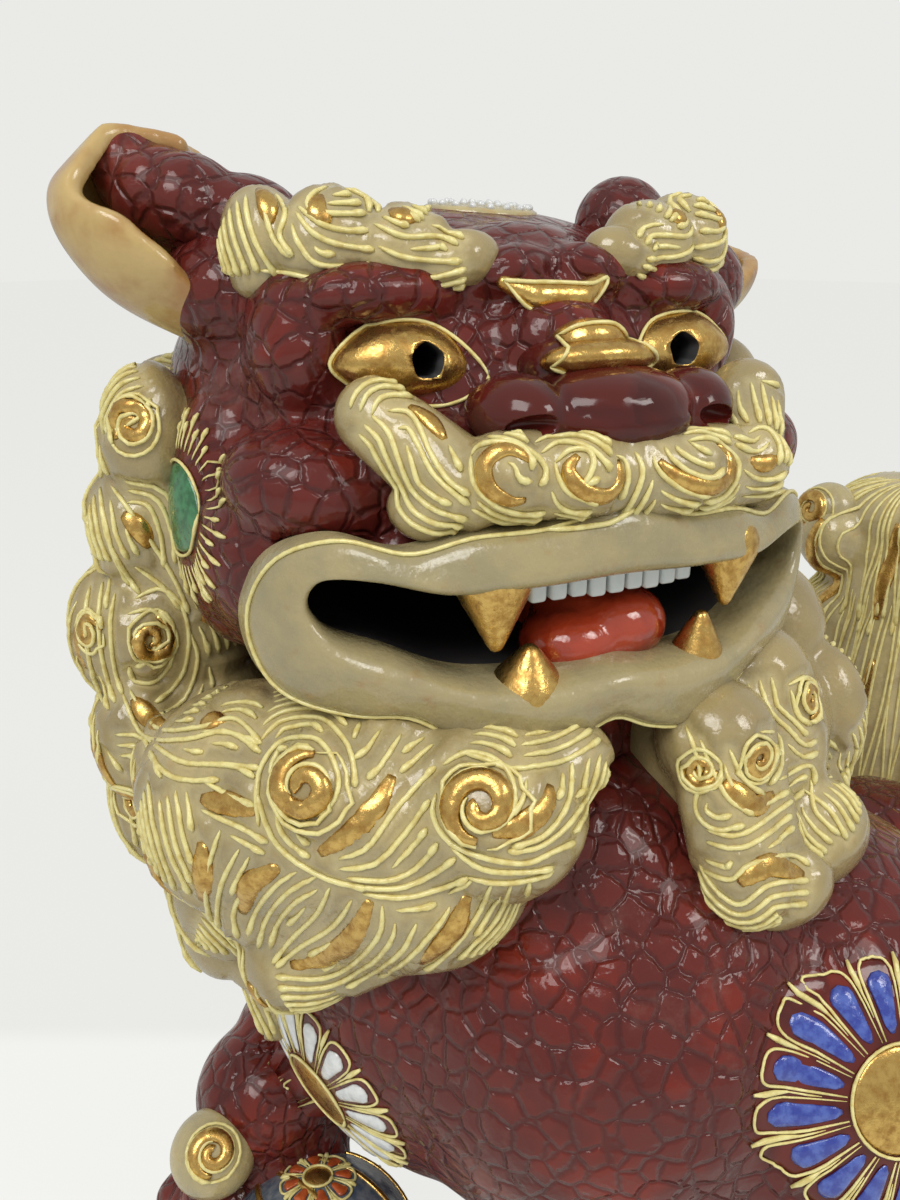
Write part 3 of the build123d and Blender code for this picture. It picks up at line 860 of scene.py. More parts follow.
# %% Nose and its gilt cap
nose = clay("nose_hide", [
    ((2.5, 16, -7), (15, 12, 6.8)),
    ((1, 6, -2), (11, 12, 7)),
    ((2.5, 20.5, -9), (13, 8, 5.6)),
    ((-14.5, 15, -8), (7.8, 10, 6.8), (0, 0, 20)),
    ((20, 14, -8.5), (7.8, 10, 6.8), (0, 0, -20)),
    ((-10, 20.5, -14), (10, 6, 3.0)),
    ((15.5, 20, -14), (10, 6, 3.0)),
], nose_glaze, 0.7, 4)
for at, turn in (((-15.5, 26.0, -9.0), (0, -14, 22)), ((20.0, 25.0, -9.4), (0, 14, -22))):
    scoop = bmesh.new()
    lump(scoop, at, (4.4, 7.0, 2.3), turn)
    cut(nose, piece_of("nostril_tool", scoop, smooth_hide))
nose_cap = clay("nose_cap_gilt", [
    ((1.5, 13.5, 0.2), (11, 6.5, 3.2), (-14, 0, 0)),
    ((2.0, 8.5, 3.2), (7, 6, 3.4), (-14, 0, 0)),
], gilt, 0.6, 4)

# %% [markdown]
# Each brow is a fat lock of cream curls over the eye. Four eggs to a side are enough, because the
# painted strokes give it the look of many locks.

# %% Brows
brows = {
    "right": clay("brow_right", [
        ((-17.5, -4.5, 15.8), (8, 5.5, 4.8), (0, -14, 0)),
        ((-26, -8, 17.5), (9.5, 7, 7.8), (0, -12, 8)),
        ((-37, -12.5, 18.5), (10.5, 8, 9.8), (0, -4, 12)),
        ((-48, -19, 18.5), (7.0, 8, 9.6), (0, 0, 20)),
    ], cream, 0.8, 3),
    "left": clay("brow_left", [
        ((16, -4.5, 16.5), (7.5, 5.5, 4.8), (0, 14, 0)),
        ((24, -8, 18.5), (9, 7, 7.8), (0, 12, -8)),
        ((34, -12.5, 18.5), (9, 8, 9.4), (0, 4, -12)),
        ((41.5, -19, 16.5), (6.0, 7.5, 8.8), (0, 0, -20)),
    ], cream, 0.8, 3),
}

# %% [markdown]
# Each ear is a cupped leaf of clay, tan outside and hide inside, with a pebbled bulge lying in
# it. The cup is a skin of U-shaped sections along a bent line, given some thickness.


# %% Ears
CUP = 20


def ear(word, spine, girths, out, tip):
    """A cup along a spine, with a girth at each of its points, open to one side, ending in a tip."""
    out = Vector(out).normalized()
    spine = smooth_path(spine, per=6)
    girths = [p.x for p in smooth_path([(girth, 0, 0) for girth in girths], per=6)]
    cup = bmesh.new()
    rows = []
    for i, (place, girth) in enumerate(zip(spine, girths)):
        along = (spine[min(i + 1, len(spine) - 1)] - spine[max(i - 1, 0)]).normalized()
        up = (out - along * out.dot(along)).normalized()
        front = along.cross(up).normalized()
        row = []
        for k in range(CUP + 1):
            angle = math.radians(-112 + 224 * k / CUP)
            place_on = place + (front * math.sin(angle) * 1.1 - up * math.cos(angle)) * girth
            row.append(cup.verts.new(on_head(*place_on)))
        rows.append(row)
    for a, b in zip(rows, rows[1:]):
        for k in range(CUP):
            cup.faces.new((a[k], a[k + 1], b[k + 1], b[k]))
    end = cup.verts.new(on_head(*tip))
    for k in range(CUP):
        cup.faces.new((rows[-1][k], rows[-1][k + 1], end))
    shell = piece_of(f"ear_{word}", cup, ear_tan)
    thick = shell.modifiers.new("thick", "SOLIDIFY")
    thick.thickness = 4.0 * MM
    thick.offset = 0
    skin = shell.modifiers.new("skin", "REMESH")
    skin.mode = "VOXEL"
    skin.voxel_size = 0.7 * MM
    shell.modifiers.new("rub", "SMOOTH").iterations = 28
    settle(shell, ear_tan)
    shell.data.polygons.foreach_set("use_smooth", [True] * len(shell.data.polygons))
    print("ear", word, len(shell.data.polygons), "faces")
    return shell


right_spine = [(-47, -37, 10), (-54, -40, 17), (-61, -42, 23), (-66, -43, 28), (-68, -43, 32.7)]
left_spine = [(46, -42, 4), (54, -45, 9), (62, -48, 13), (69, -51, 16), (73, -53, 17)]
ears = {
    "right": ear("right", right_spine, [11.5, 14.5, 15.5, 14, 10], (-0.2, 0.36, 0.95), (-69, -43, 38.4)),
    "left": ear("left", left_spine, [9, 11, 11.5, 10, 6], (0.35, 0.3, 0.9), (76, -54, 18)),
}

# %% [markdown]
# Inside each cup lies a pebbled bulge of the hide, made from a few eggs side by side.

# %% The bulges in the ears
ear_folds = {
    "right": clay("ear_fold_right", [
        ((-46, -38, 20), (13, 11, 11), (0, 20, 0)), ((-56, -40, 25), (11, 10, 9.5), (0, 30, 0)),
        ((-61, -43, 27), (10, 9, 9)), ((-66, -46, 31), (7, 6, 8)),
    ], hide, 0.9, 4),
    "left": clay("ear_fold_left", [
        ((34, -35, 22), (10, 10, 10)), ((46, -40, 18), (11, 10, 10)), ((56, -46, 15), (9, 8, 8)),
        ((64, -49, 16), (7, 7, 5)),
    ], hide, 0.9, 4),
}

# %% [markdown]
# The moustache lies over the upper lip as one roll on each side, with a fat end knob beside the
# nose and a tuft that climbs the cheek.

# %% Moustache
moustache = clay("moustache_cream", [
    ((-20, 21, -17), (11, 24, -18), 7.4),
    ((11, 24, -18), (29, 18, -19), 7.4),
    ((-36, 5, -8.5), (-25, 17, -19), 6.5, 7.5),
    ((37, 8, -9), (30, 17, -19), 7.0, 7.5),
    ((-8, 26, -16.5), (7.2, 6.2, 7)), ((-20.5, 23.5, -16), (6.8, 6.2, 7)),
    ((12.5, 25.5, -17.5), (7.2, 6.2, 7)), ((30, 20.5, -18.5), (6.8, 6.2, 7)),
    ((-30, 13, -23), (6, 8, 5)), ((34, 11, -24), (6, 8, 5)),
], cream, 0.8, 4)

# %% [markdown]
# The mane hangs behind each cheek in fat curls. The bars are those of the casting, with smaller
# lumps for the locks that swell out of it. Both sides are alike, so one is mirrored.

# %% Mane
mane_lumps = [
    ((-60, -46, -22), (-63, -51, -64), 15.5),
    ((-56, -66, -20), (-58, -70, -66), 16),
    ((-63, -52, -80), (-57, -62, -104), 19),
    ((-67.5, -42, -17), (9, 12, 14)), ((-72, -45, -36), (9, 11, 12)), ((-72, -46, -57), (10, 13, 13)),
    ((-77, -50, -60), (9, 12, 14)), ((-74, -42, -81), (10, 12, 15)), ((-72, -46, -98), (10, 14, 16)),
    ((-70, -24, -82), (8, 12, 12)),
]
manes = {
    "right": clay("mane_right_cream", mane_lumps, cream, 1.1, 5),
    "left": clay("mane_left_cream", other_side(mane_lumps), cream, 1.1, 5),
}

# %% [markdown]
# The beard sweeps forward under the jaw in two lobes. The left one turns up and forward more,
# so it has lumps of its own. The right one ends in a point that hangs beside the chest.

# %% Beard
beard_lumps = [
    ((-57, -10, -84), (-36, 10, -80), 23), ((-46, -4, -100), (-32, 16, -88), 20),
    ((-33, 16, -78), (-23, 27, -74), 16),
    ((-48, 14, -71), (12, 12, 12)), ((-27, 28, -72), (12, 11, 11)), ((-60, -4, -92), (12, 16, 18)),
    ((-11, 28, -67), (9.5, 7.5, 7.5)), ((-18, 27, -78), (10, 9, 10)), ((-56, 6, -74), (10, 12, 10)),
    ((-30, 14, -98), (-52, 2, -112), 11, 12), ((-62, -22, -108), (12, 18, 16)),
    ((-63, -30, -122), (9, 14, 14)), ((-57, -19, -125), (-55.5, -17, -146), 7, 3),
]
left_beard_lumps = [
    ((57, -10, -84), (36, 10, -80), 22), ((46, -4, -98), (34, 12, -88), 19),
    ((27, 22, -74), (24, 25, -70), 11),
    ((40, 14, -66), (12, 12, 12)), ((58, -8, -64), (14, 16, 16)), ((27, 26, -76), (31, 32, -98), 10, 11),
    ((58, 8, -96), (13, 14, 12)), ((44, 26, -95), (17, 12, 12)), ((32, 38, -97), (11, 7, 8)),
    ((21, 31, -77), (24, 38, -94), 7.5, 9), ((47, 28, -93), (11, 10, 11)), ((66, 4, -82), (10, 14, 18)),
]
beards = {
    "right": clay("beard_right_cream", beard_lumps, cream, 1.1, 6),
    "left": clay("beard_left_cream", left_beard_lumps, cream, 1.1, 6),
}

# %% [markdown]
# The nape closes the mane behind. Its bars lie across the neck, one under another.

# %% Nape
nape = clay("nape_cream", [
    ((-24, -84, -10), (24, -84, -10), 21.4), ((-22, -88, -52), (22, -88, -52), 24.4),
    ((-8, -92, -92), (8, -92, -92), 22.4), ((-22, -86, -80), (22, -86, -80), 22),
], cream, 1.6, 5)

# %% [markdown]
# The body is one casting: chest, throat, shoulders, barrel and thighs, with three standing legs
# and the raised one on the right in front. The tail stands up behind it, and is one more piece.

# %% The body and the tail
body_hide = clay("body_hide", [
    ((-56, -16, 97), (-56, 6, 97), 56), ((-66, -16, 104), (-66, -14, 126), 34),
    ((-57, 12, 97), (59, 57, 58)), ((-30, -45, 85.8), (52, 52, 52)), ((-46, 47, 89.7), (46, 46, 46)),
    ((-30, 0, 84), (58, 0, 66), 48, 37),
    ((62, -34, 72.8), (80, -38, 59.8), 29), ((62, 34, 72.8), (80, 38, 59.8), 29),
    ((-38, -54, 65), (-54, -60, 15.5), 23, 14.5), ((76, -46, 59.8), (74, -54, 15.5), 23, 14.5),
    ((76, 46, 59.8), (74, 54, 15.5), 23, 14.5), ((-68, 47, 72.8), (-102, 49, 37.7), 23, 15),
    ((-60, -60, 22), (13, 13, 12)), ((72, -55, 22), (13, 12, 12)), ((72, 55, 22), (13, 12, 12)),
    ((-102, 49, 52), (19, 18, 18)), ((-90, 52, 60), (16, 16, 16)), ((-104, 40, 36), (15, 15, 13)),
], hide, 1.7, 6, BODY_FRAME)
tail = clay("tail_cream", [
    ((124, -16, 92), (123, -16, 146), 28), ((122, -26, 158), (122, -6, 158), 24),
    ((118, -16, 168), (20, 30, 14)), ((112, -34, 132), (106, -40, 84), 17, 19),
    ((112, 2, 132), (106, 8, 84), 17, 19), ((110, -16, 132), (102, -16, 84), 17, 19),
    ((103, -36, 162), (11, 11, 12)), ((103, 6, 162), (11, 11, 12)),
], cream, 1.3, 4, BODY_FRAME)

# %% [markdown]
# A paw is four rolled toes in a bow, with a heel and a pad behind them, set out from the box of
# the solid paw. Each toe has a gilt claw. The raised paw is let down a little, onto its ball.

# %% Paws and claws
RAISED_PAW_LET_DOWN = Vector((0, 0, 4.6))
paws = {}
claws = {}
for word in ("left_fore", "right_fore", "left_hind", "right_hind"):
    node = word + ("paw" if "fore" in word else "_paw")
    low, high = (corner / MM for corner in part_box(node))
    if word == "right_fore":
        low, high = low - RAISED_PAW_LET_DOWN, high - RAISED_PAW_LET_DOWN
    mid = (low + high) / 2
    wide = (high.y - low.y) / 2
    toes = []
    nails = []
    for k in range(4):
        y = mid.y + (k - 1.5) * wide * 0.46
        x = low.x + 7.5 + abs(k - 1.5) * 2.2
        toes.append(((x + 4, y, low.z + 7.2), (x + 15, y, low.z + 11), 6.0, 6.6))
        nails.append(((x - 3.6, y, low.z + 4.6), (x + 3.5, y, low.z + 8.2), 1.3, 2.7))
    heel = ((low.x + 20, mid.y, low.z + 12), (high.x - 13, mid.y, low.z + 12.8), 11.5, 12.4)
    pad = ((low.x + 22, mid.y, low.z + 9), (17, wide - 1.5, 8.4))
    paws[word] = clay(f"paw_{word}", toes + [heel, pad], hide, 0.9, 3, IN_MM)
    claws[word] = clay(f"claws_{word}", nails, gilt, 0.55, 1, IN_MM)

# %% [markdown]
# The fangs are fat gilt cones, two above and two below. Each has a swollen root that sits in the
# gum, so it seems to grow out of it.

# %% Fangs
FANGS = {
    "right_upper_fang": ((-21, 20.5, -34), (-21.5, 23, -45), 6.9, 1.5),
    "left_upper_fang": ((26, 20.5, -33), (25.5, 22, -43.5), 6.0, 1.3),
    "right_lower_fang": ((-15, 22, -56), (-15, 23, -48), 7.2, 2.2),
    "left_lower_fang": ((20.5, 21.5, -56), (20.3, 22.5, -46), 6.0, 1.5),
}
fangs = {}
for node, (root, tip, thick, thin) in FANGS.items():
    gum = (root, (thick + 0.9, thick - 0.8, 4))
    fangs[node] = clay(f"{node}_gilt", [(root, tip, thick, thin), gum], gilt, 0.5, 5)

# %% [markdown]
# The teeth are a row of small square pegs behind the upper lip, cut a little narrower at their
# lower ends, with their edges rounded. They don't end at one level, as hand-cut teeth don't.

# %% Teeth
TOOTH_PITCH = 3.7
TOOTH_CORNERS = ((-1, 3), (1, 3), (1, 0), (-1, 0))
TOOTH_SIDES = ((0, 1, 2, 3), (7, 6, 5, 4), (0, 4, 5, 1), (1, 5, 6, 2), (2, 6, 7, 3), (3, 7, 4, 0))
teeth = bmesh.new()
for k in range(9):
    left = -13 + k * TOOTH_PITCH
    front = face_front(left) - 8.8
    tooth = []
    for up, half in ((-39.2 + 0.2 * (k % 3), 1.72 * 0.92), (-32.4, 1.72)):
        for x, y in TOOTH_CORNERS:
            tooth.append(teeth.verts.new(on_head(left + half * x, front - y, up)))
    for side in TOOTH_SIDES:
        teeth.faces.new([tooth[i] for i in side])
teeth = piece_of("teeth_white", teeth, tooth_glaze)
rounded = teeth.modifiers.new("round", "BEVEL")
rounded.width, rounded.segments = 0.8 * MM, 4
settle(teeth, tooth_glaze)
teeth.data.polygons.foreach_set("use_smooth", [True] * len(teeth.data.polygons))
print("teeth", len(teeth.data.polygons), "faces")

# %% [markdown]
# The tongue is a smooth red pad that lies between the lower fangs, fuller on both sides of its
# middle line. It comes from deep inside the head.

# %% Tongue
tongue = clay("tongue_pad", [
    ((4, -26, -54), (3, 10, -51), 8.5, 9), ((-2, 14, -50), (10, 9, 7)),
    ((7, 14, -48), (10, 9, 7.6)), ((3, 10, -47), (11, 9, 7)),
], tongue_glaze, 0.8, 4)

# %% [markdown]
# Knobs of clay stand where the leg, thigh and tail curls are in the solid model. The one on the
# raised leg is the only one that the picture shows, so it is placed by its line of sight.

# %% Applied curls
RAISED_CURL_SPOT = (222, 1138)
RAISED_CURL_SHIFT = Vector((-1.5, 1.7, -4.5))
TAIL_CURLS_BACK = 6
KNOBS = ("wrist_curl", "thigh_tuft", "tail_curl")
knobs = {}
for node in [f"{side}_{what}" for side in ("left", "right") for what in KNOBS]:
    low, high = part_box(node)
    at = (low + high) / 2 / MM
    swell = 0.95
    if node == "right_wrist_curl":
        at = land(landing_tree(body_hide), RAISED_CURL_SPOT)[0] / MM + RAISED_CURL_SHIFT
        swell = 1.15
    if "tail" in node:
        at.x += TAIL_CURLS_BACK
    size = (high - low) / 2 / MM * swell
    knobs[node] = clay(f"{node}_cream", [(tuple(at), tuple(size))], cream, 0.9, 1, IN_MM)

# %% [markdown]
# A flame leaf lies on the left shoulder. The ball under the raised paw is a brocade ball: a plain
# ball first, which takes its flowers and bands later. It sits a little lower and further forward
# than the solid one, because the picture shows it so.

# %% Flame leaf and ball
BALL_SHIFT = Vector((-5.0, -2.6, -2.0))
BALL_SIZE = (24, 24, 23.6)
flame = clay("shoulder_flame", [
    ((-34, -66, 120), (-14, -68, 116), 10, 8), ((-40, -64, 104), (11, 6, 16), (0, 12, 0)),
    ((-4, -66, 113), (12, 5, 6)),
], cream, 0.9, 3, BODY_FRAME)
ball_at = middle("ball") / MM + BALL_SHIFT
ball = clay("ball_brocade", [(tuple(ball_at), BALL_SIZE)], slate, 1.0, 1, IN_MM)

# %% [markdown]
# The painter's lines of slip and gold are set out one by one, as they run in the picture. Each is a
# list of places along one stroke, across and down in the picture's own steps. First come those of
# the beard on the lion's right side.

# %% Strokes of the beard
BEARD_LINES = [
    [(249,994), (257,1012), (266,1030), (272,1041)],
    [(258,992), (265,1008), (272,1026), (275,1036)],
    [(267,994), (273,1006), (278,1022)],
    [(128,800), (138,850), (160,900), (192,945)],
    [(142,790), (152,845), (176,900), (208,945)],
    [(158,800), (168,850), (190,895)],
    [(338,860), (367,848), (392,814), (417,785), (435,766)],
    [(338,870), (375,864), (404,835), (429,800)],
    [(346,879), (388,881), (417,868), (437,844)],
    [(354,887), (396,889), (429,877), (455,859)],
    [(362,895), (404,898), (438,890), (468,879)],
    [(448,895), (471,882)],
    [(435,793), (433,818), (450,843), (483,858), (525,864), (554,852), (576,842)],
    [(450,848), (483,870), (525,873), (554,868)],
    [(467,879), (500,884), (533,880), (554,872)],
    [(602,754), (590,793), (567,827), (538,848), (508,852)],
    [(573,762), (569,802), (546,835), (512,848)],
    [(260,739), (283,720), (321,718), (344,739), (353,760), (355,787)],
    [(258,827), (256,793), (262,764), (283,740), (317,739), (335,764), (338,789), (325,810), (300,818),
     (292,806)],
    [(254,787), (275,843), (321,877), (367,889)],
    [(200,731), (233,733), (258,743)],
    [(200,764), (233,766), (254,777)],
    [(200,779), (225,793), (254,806)],
    [(200,810), (238,827), (267,843)],
    [(317,877), (288,893), (267,918), (258,948)],
    [(329,889), (317,914), (292,939), (272,964)],
    [(351,902), (333,927), (300,948), (275,968)],
    [(382,907), (379,935), (354,964), (321,979), (275,977)],
    [(416,925), (400,954), (367,977), (346,988)],
    [(450,908), (438,927), (408,960), (379,977)],
    [(492,884), (479,914), (458,943), (433,966), (396,979)],
    [(512,885), (502,910), (488,931), (458,960)],
    [(531,879), (521,910), (492,943), (450,972)],
    [(555,869), (546,906), (517,943), (471,968), (421,980), (358,990), (275,981)],
    [(219,831), (208,868), (206,902), (217,935)],
    [(238,850), (221,885), (217,918), (225,943)],
    [(271,868), (246,889), (233,914), (238,939)],
    [(200,918), (225,943), (254,968), (269,998)],
    [(225,939), (254,960), (275,1000)],
    [(433,743), (400,772)],
    [(401,733), (383,762), (367,779)],
    [(380,728), (367,748), (354,758)],
    [(360,720), (354,737)],
    [(442,764), (467,752), (492,757), (509,772), (515,793), (512,808)],
    [(527,779), (523,800), (510,816)],
    [(458,750), (488,760), (508,768), (533,766), (567,759), (600,739), (621,720), (640,715)],
]
BEARD_GOLD = [
    [(319,854), (346,835), (375,806), (392,775)],
    [(492,833), (521,827), (546,806), (552,785)],
    [(277,868), (250,885), (242,914)],
    [(369,902), (354,935), (325,960), (290,966)],
    [(467,898), (454,931), (423,965)],
    [(200,722), (225,718)],
    [(200,798), (229,804), (254,812)],
    [(200,843), (203,877), (202,902)],
]
print("beard strokes", len(BEARD_LINES), "and", len(BEARD_GOLD), "in gold")

# %% [markdown]
# The mane behind the cheek hangs in three or four rolled locks, and its strokes follow them down.

# %% Strokes of the mane
MANE_LINES = [
    [(187,368), (189,410), (181,452), (160,477), (139,481)],
    [(181,364), (156,360), (127,372), (110,398), (102,435), (106,464)],
    [(143,385), (122,393), (108,414), (106,431), (122,427), (143,414), (150,398)],
    [(127,502), (148,506), (160,535), (164,568)],
    [(110,485), (135,518), (160,556), (177,585), (189,614)],
    [(98,481), (106,535), (122,568), (139,593)],
    [(100,502), (112,552), (129,585)],
    [(135,568), (160,585), (181,610)],
    [(135,598), (160,589), (181,606), (189,635), (185,668), (172,689), (156,702)],
    [(127,614), (152,610), (170,631), (172,660), (156,681), (135,681), (129,668)],
    [(143,627), (154,635), (152,656), (135,668)],
    [(189,631), (198,660), (185,698), (160,714), (139,706)],
    [(210,668), (212,693), (198,710), (177,718)],
    [(89,585), (85,618), (89,660), (102,702)],
    [(102,581), (98,618), (102,660), (114,702)],
    [(114,593), (110,627), (114,668), (122,693)],
    [(129,689), (156,727), (198,727), (235,718), (260,743)],
    [(122,693), (143,735), (185,739), (227,731), (260,752)],
    [(135,727), (177,760), (227,764), (260,768)],
    [(143,748), (172,777), (218,780)],
    [(114,735), (143,739), (160,777)],
    [(106,752), (122,772)],
]
MANE_GOLD = [
    [(122,514), (139,527), (150,548)],
    [(133,698), (156,722), (189,727), (225,718)],
    [(85,610), (77,643), (85,668)],
]
print("mane strokes", len(MANE_LINES), "and", len(MANE_GOLD), "in gold")

# %% [markdown]
# Only the lion's right brow is set out. The other one takes its strokes across.

# %% Strokes of the brow
BROW_LINES = [
    [(235,190), (241,228), (253,261), (258,273)],
    [(245,184), (247,215), (258,248), (278,278)],
    [(253,182), (264,211), (274,240), (291,257)],
    [(270,184), (285,211), (280,236), (293,256)],
    [(260,271), (287,273), (312,278), (345,278), (374,273)],
    [(291,223), (299,244), (320,265), (374,265)],
    [(295,211), (312,232), (337,244), (374,250)],
    [(297,205), (320,223), (345,230), (368,230)],
    [(328,185), (312,194), (308,207), (328,213), (366,213)],
    [(345,187), (366,198), (369,211)],
    [(374,202), (395,207), (420,221)],
    [(378,196), (403,205), (424,219)],
    [(374,223), (403,236), (437,236), (458,244)],
    [(378,246), (403,257), (437,261), (462,261)],
    [(385,273), (408,278), (437,277), (466,269)],
]
BROW_GOLD = [
    [(255,184), (266,198), (270,223)],
    [(320,194), (316,211), (332,219)],
    [(378,198), (395,211), (416,219)],
]
print("brow strokes", len(BROW_LINES), "and", len(BROW_GOLD), "in gold")

# %% [markdown]
# The moustache shows whole, so both of its sides are set out, and one line runs along the lip
# under it.

# %% Strokes of the moustache and lip
MOUSTACHE_LINES = [
    [(371,415), (378,400), (392,395), (415,398), (435,410), (452,422), (461,435)],
    [(371,415), (388,432), (398,458), (412,490), (435,510), (468,520)],
    [(388,410), (408,412), (420,428), (430,452), (448,480), (470,495)],
    [(398,428), (408,428), (418,445), (432,472), (452,492), (470,505)],
    [(449,444), (455,458), (462,471)],
    [(480,436), (500,438), (520,445), (531,458), (532,470)],
    [(470,455), (475,485), (495,505), (520,514), (545,513)],
    [(470,455), (480,445), (502,442), (525,448), (542,462), (546,475), (540,486)],
    [(508,462), (515,466), (520,479), (532,482)],
    [(542,452), (558,442), (580,444), (595,452), (608,465), (610,472)],
    [(555,462), (560,480), (572,495), (600,504)],
    [(552,492), (558,505), (572,512), (592,512)],
    [(555,462), (570,450), (588,450), (594,462), (590,475), (584,485), (600,478)],
    [(618,455), (626,462), (628,480), (620,500)],
    [(635,451), (642,465), (641,482), (628,508), (612,520)],
    [(665,446), (672,458), (690,472), (712,478), (724,468)],
    [(690,441), (700,448), (712,454)],
    [(654,456), (660,472), (680,488), (700,495), (712,495)],
    [(688,440), (710,438), (725,448), (738,462), (735,482), (722,498), (705,502)],
    [(770,442), (760,451), (748,450), (736,444)],
    [(749,432), (760,427), (772,432), (780,448), (778,465)],
    [(745,470), (758,479), (778,478), (790,468)],
    [(762,380), (782,388), (798,405), (803,425), (802,450), (792,475), (784,488)],
    [(762,382), (765,400), (770,425)],
    [(785,392), (788,410), (781,438)],
    [(738,390), (740,408), (748,422)],
]
MOUSTACHE_GOLD = [
    [(532,460), (510,448), (491,455), (483,470), (490,490), (510,502), (526,501)],
    [(410,405), (428,418), (445,438)],
    [(578,455), (568,468), (574,482), (590,495), (608,496), (620,482), (620,460)],
    [(660,460), (680,478), (710,488), (729,478), (730,455), (719,444)],
    [(752,460), (765,464), (778,458)],
]
LIP_LINE = [
    [(540,530), (565,530), (595,526), (612,522), (630,512), (642,498), (652,496), (670,510), (690,515),
     (715,512), (740,506), (765,500), (790,490)],
]
print("moustache strokes", len(MOUSTACHE_LINES), "and", len(MOUSTACHE_GOLD), "in gold")

# %% [markdown]
# The lobe of beard on the lion's left is seen from its inner side, so it has strokes of its own.

# %% Strokes of the left beard
LEFT_BEARD_LINES = [
    [(685,725), (700,770), (695,810), (715,830), (745,825)],
    [(700,740), (715,775), (730,800), (755,815)],
    [(760,680), (770,710), (790,730), (805,745), (818,740)],
    [(790,685), (805,678), (818,690), (818,710)],
    [(792,690), (798,715), (812,725)],
    [(762,732), (778,735), (782,765), (770,785)],
    [(730,750), (745,780), (765,795)],
    [(725,765), (735,790), (760,805), (790,790)],
    [(705,830), (740,835), (780,810), (805,790)],
    [(690,855), (715,840), (770,840), (800,835)],
    [(692,860), (695,890), (725,920), (755,920), (780,900), (812,888)],
    [(698,865), (715,890), (740,905), (770,885), (810,880)],
    [(700,870), (730,880), (750,865), (790,855), (810,865)],
    [(780,780), (810,765), (815,785)],
    [(805,790), (830,810), (848,840)],
    [(812,780), (815,810), (840,835)],
]
LEFT_BEARD_GOLD = [
    [(740,885), (770,865), (805,875)],
    [(725,780), (755,805), (775,795)],
]
print("left beard strokes", len(LEFT_BEARD_LINES), "and", len(LEFT_BEARD_GOLD), "in gold")

# %% [markdown]
# Curls and flowers are laid out round a heart, by a radius and an angle, as a potter turns the
# work under the nozzle. Each place of them drops onto the nearest clay.


# %% Places round a heart
def around(out):
    """Across and up, on a surface that faces a given way."""
    right = TURN @ Vector((1, 0, 0))
    right = (right - out * right.dot(out)).normalized()
    return right, out.cross(right).normalized()


def spoke(tree, heart, places, rise=0.0):
    """Land places given as a radius in millimetres and an angle round a heart."""
    place, out = heart
    right, top = around(out)
    path = []
    for radius, angle in places:
        turn = math.radians(angle)
        spot = place + (right * math.cos(turn) + top * math.sin(turn)) * radius * MM
        found, away, _, _ = tree.find_nearest(spot)
        away = away if away.dot(out) > 0 else -away
        path.append((found + away * rise * MM, away))
    return rested(path)


# %% [markdown]
# Between the strokes that are set out in the lists run finer ones, beside them and never across
# them, as the painter fills a lock. Each is moved a step to the side of an older one, and it stops
# where it would come too close to another. Taken places are kept in small boxes, to be quick.


# %% Strokes that echo strokes
class Sown:
    """Places already taken by a stroke, kept in small boxes so that a crowded spot is found fast."""

    def __init__(self, apart):
        self.apart = apart * MM
        self.boxes = {}

    def box(self, place):
        return tuple(int(c // self.apart) for c in place)

    def add(self, path):
        for place, _ in path[::2]:
            self.boxes.setdefault(self.box(place), []).append(place)

    def crowded(self, spot, share=0.8):
        """Whether a taken place is too near to a spot."""
        home = self.box(spot)
        for dx in (-1, 0, 1):
            for dy in (-1, 0, 1):
                for dz in (-1, 0, 1):
                    for place in self.boxes.get((home[0] + dx, home[1] + dy, home[2] + dz), ()):
                        if (place - spot).length < self.apart * share:
                            return True
        return False


def echoes(tree, strokes, taken, apart, rounds, shortest=6):
    """Strokes that run beside the painter's own, wherever there is room."""
    sown = Sown(apart)
    for path in strokes + taken:
        sown.add(path)
    fresh, all_born = strokes, []
    for _ in range(rounds):
        born = []
        for path in fresh:
            for side in (-1, 1):
                run = []
                for i, (place, out) in enumerate(path):
                    along = path[min(i + 1, len(path) - 1)][0] - path[max(i - 1, 0)][0]
                    spot = place + out.cross(along).normalized() * side * apart * MM
                    found, away, _, gap = tree.find_nearest(spot)
                    torn = run and (found - run[-1][0]).length > 3 * MM
                    if gap > 1.5 * MM or torn or sown.crowded(found):
                        if len(run) >= shortest:
                            born.append(run)
                            sown.add(run)
                        run = []
                    else:
                        run.append((found, away if away.dot(out) > 0 else -away))
                if len(run) >= shortest:
                    born.append(run)
                    sown.add(run)
        all_born += born
        fresh = [rested(path) for path in born]
    return all_born


# %% [markdown]
# A thick line of slip lies in a groove between two swelling locks. So the clay is moved out a
# little where it is far from every stroke, and in where it is near one. The same measure, 0 at a
# stroke and 1 far from all, goes into the attribute called lock, which the cream enamel reads.


# %% Clay that swells between strokes
def plump(pieces, strokes, deep=1.0, reach=2.2):
    """Let the clay swell between the strokes, so that each stroke lies in a groove."""
    spots = [place for stroke in strokes for place, _ in stroke]
    if not spots:
        return
    near = KDTree(len(spots))
    for i, place in enumerate(spots):
        near.insert(place, i)
    near.balance()
    for piece in pieces:
        swell = piece.data.attributes.get("lock") or piece.data.attributes.new("lock", "FLOAT", "POINT")
        ways = [v.normal.copy() for v in piece.data.vertices]
        for v, way in zip(piece.data.vertices, ways):
            gap = min(1.0, near.find(v.co)[2] / (reach * MM))
            swell.data[v.index].value = max(swell.data[v.index].value, gap) if deep else 0.0
            v.co += way * (deep * MM * (gap**2 - 0.4))


# %% [markdown]
# To dress some clay is to do all of that to it: fill it with strokes, let it swell, and lay the
# slip and the gold. Every bead is drawn with a little random unevenness.


# %% Dressing some clay
trimmings = []


def landed(tree, lines):
    """Lines of the picture, landed; those that miss the clay are left off."""
    return [path for path in (landed_path(tree, spots) for spots in lines) if len(path) > 3]


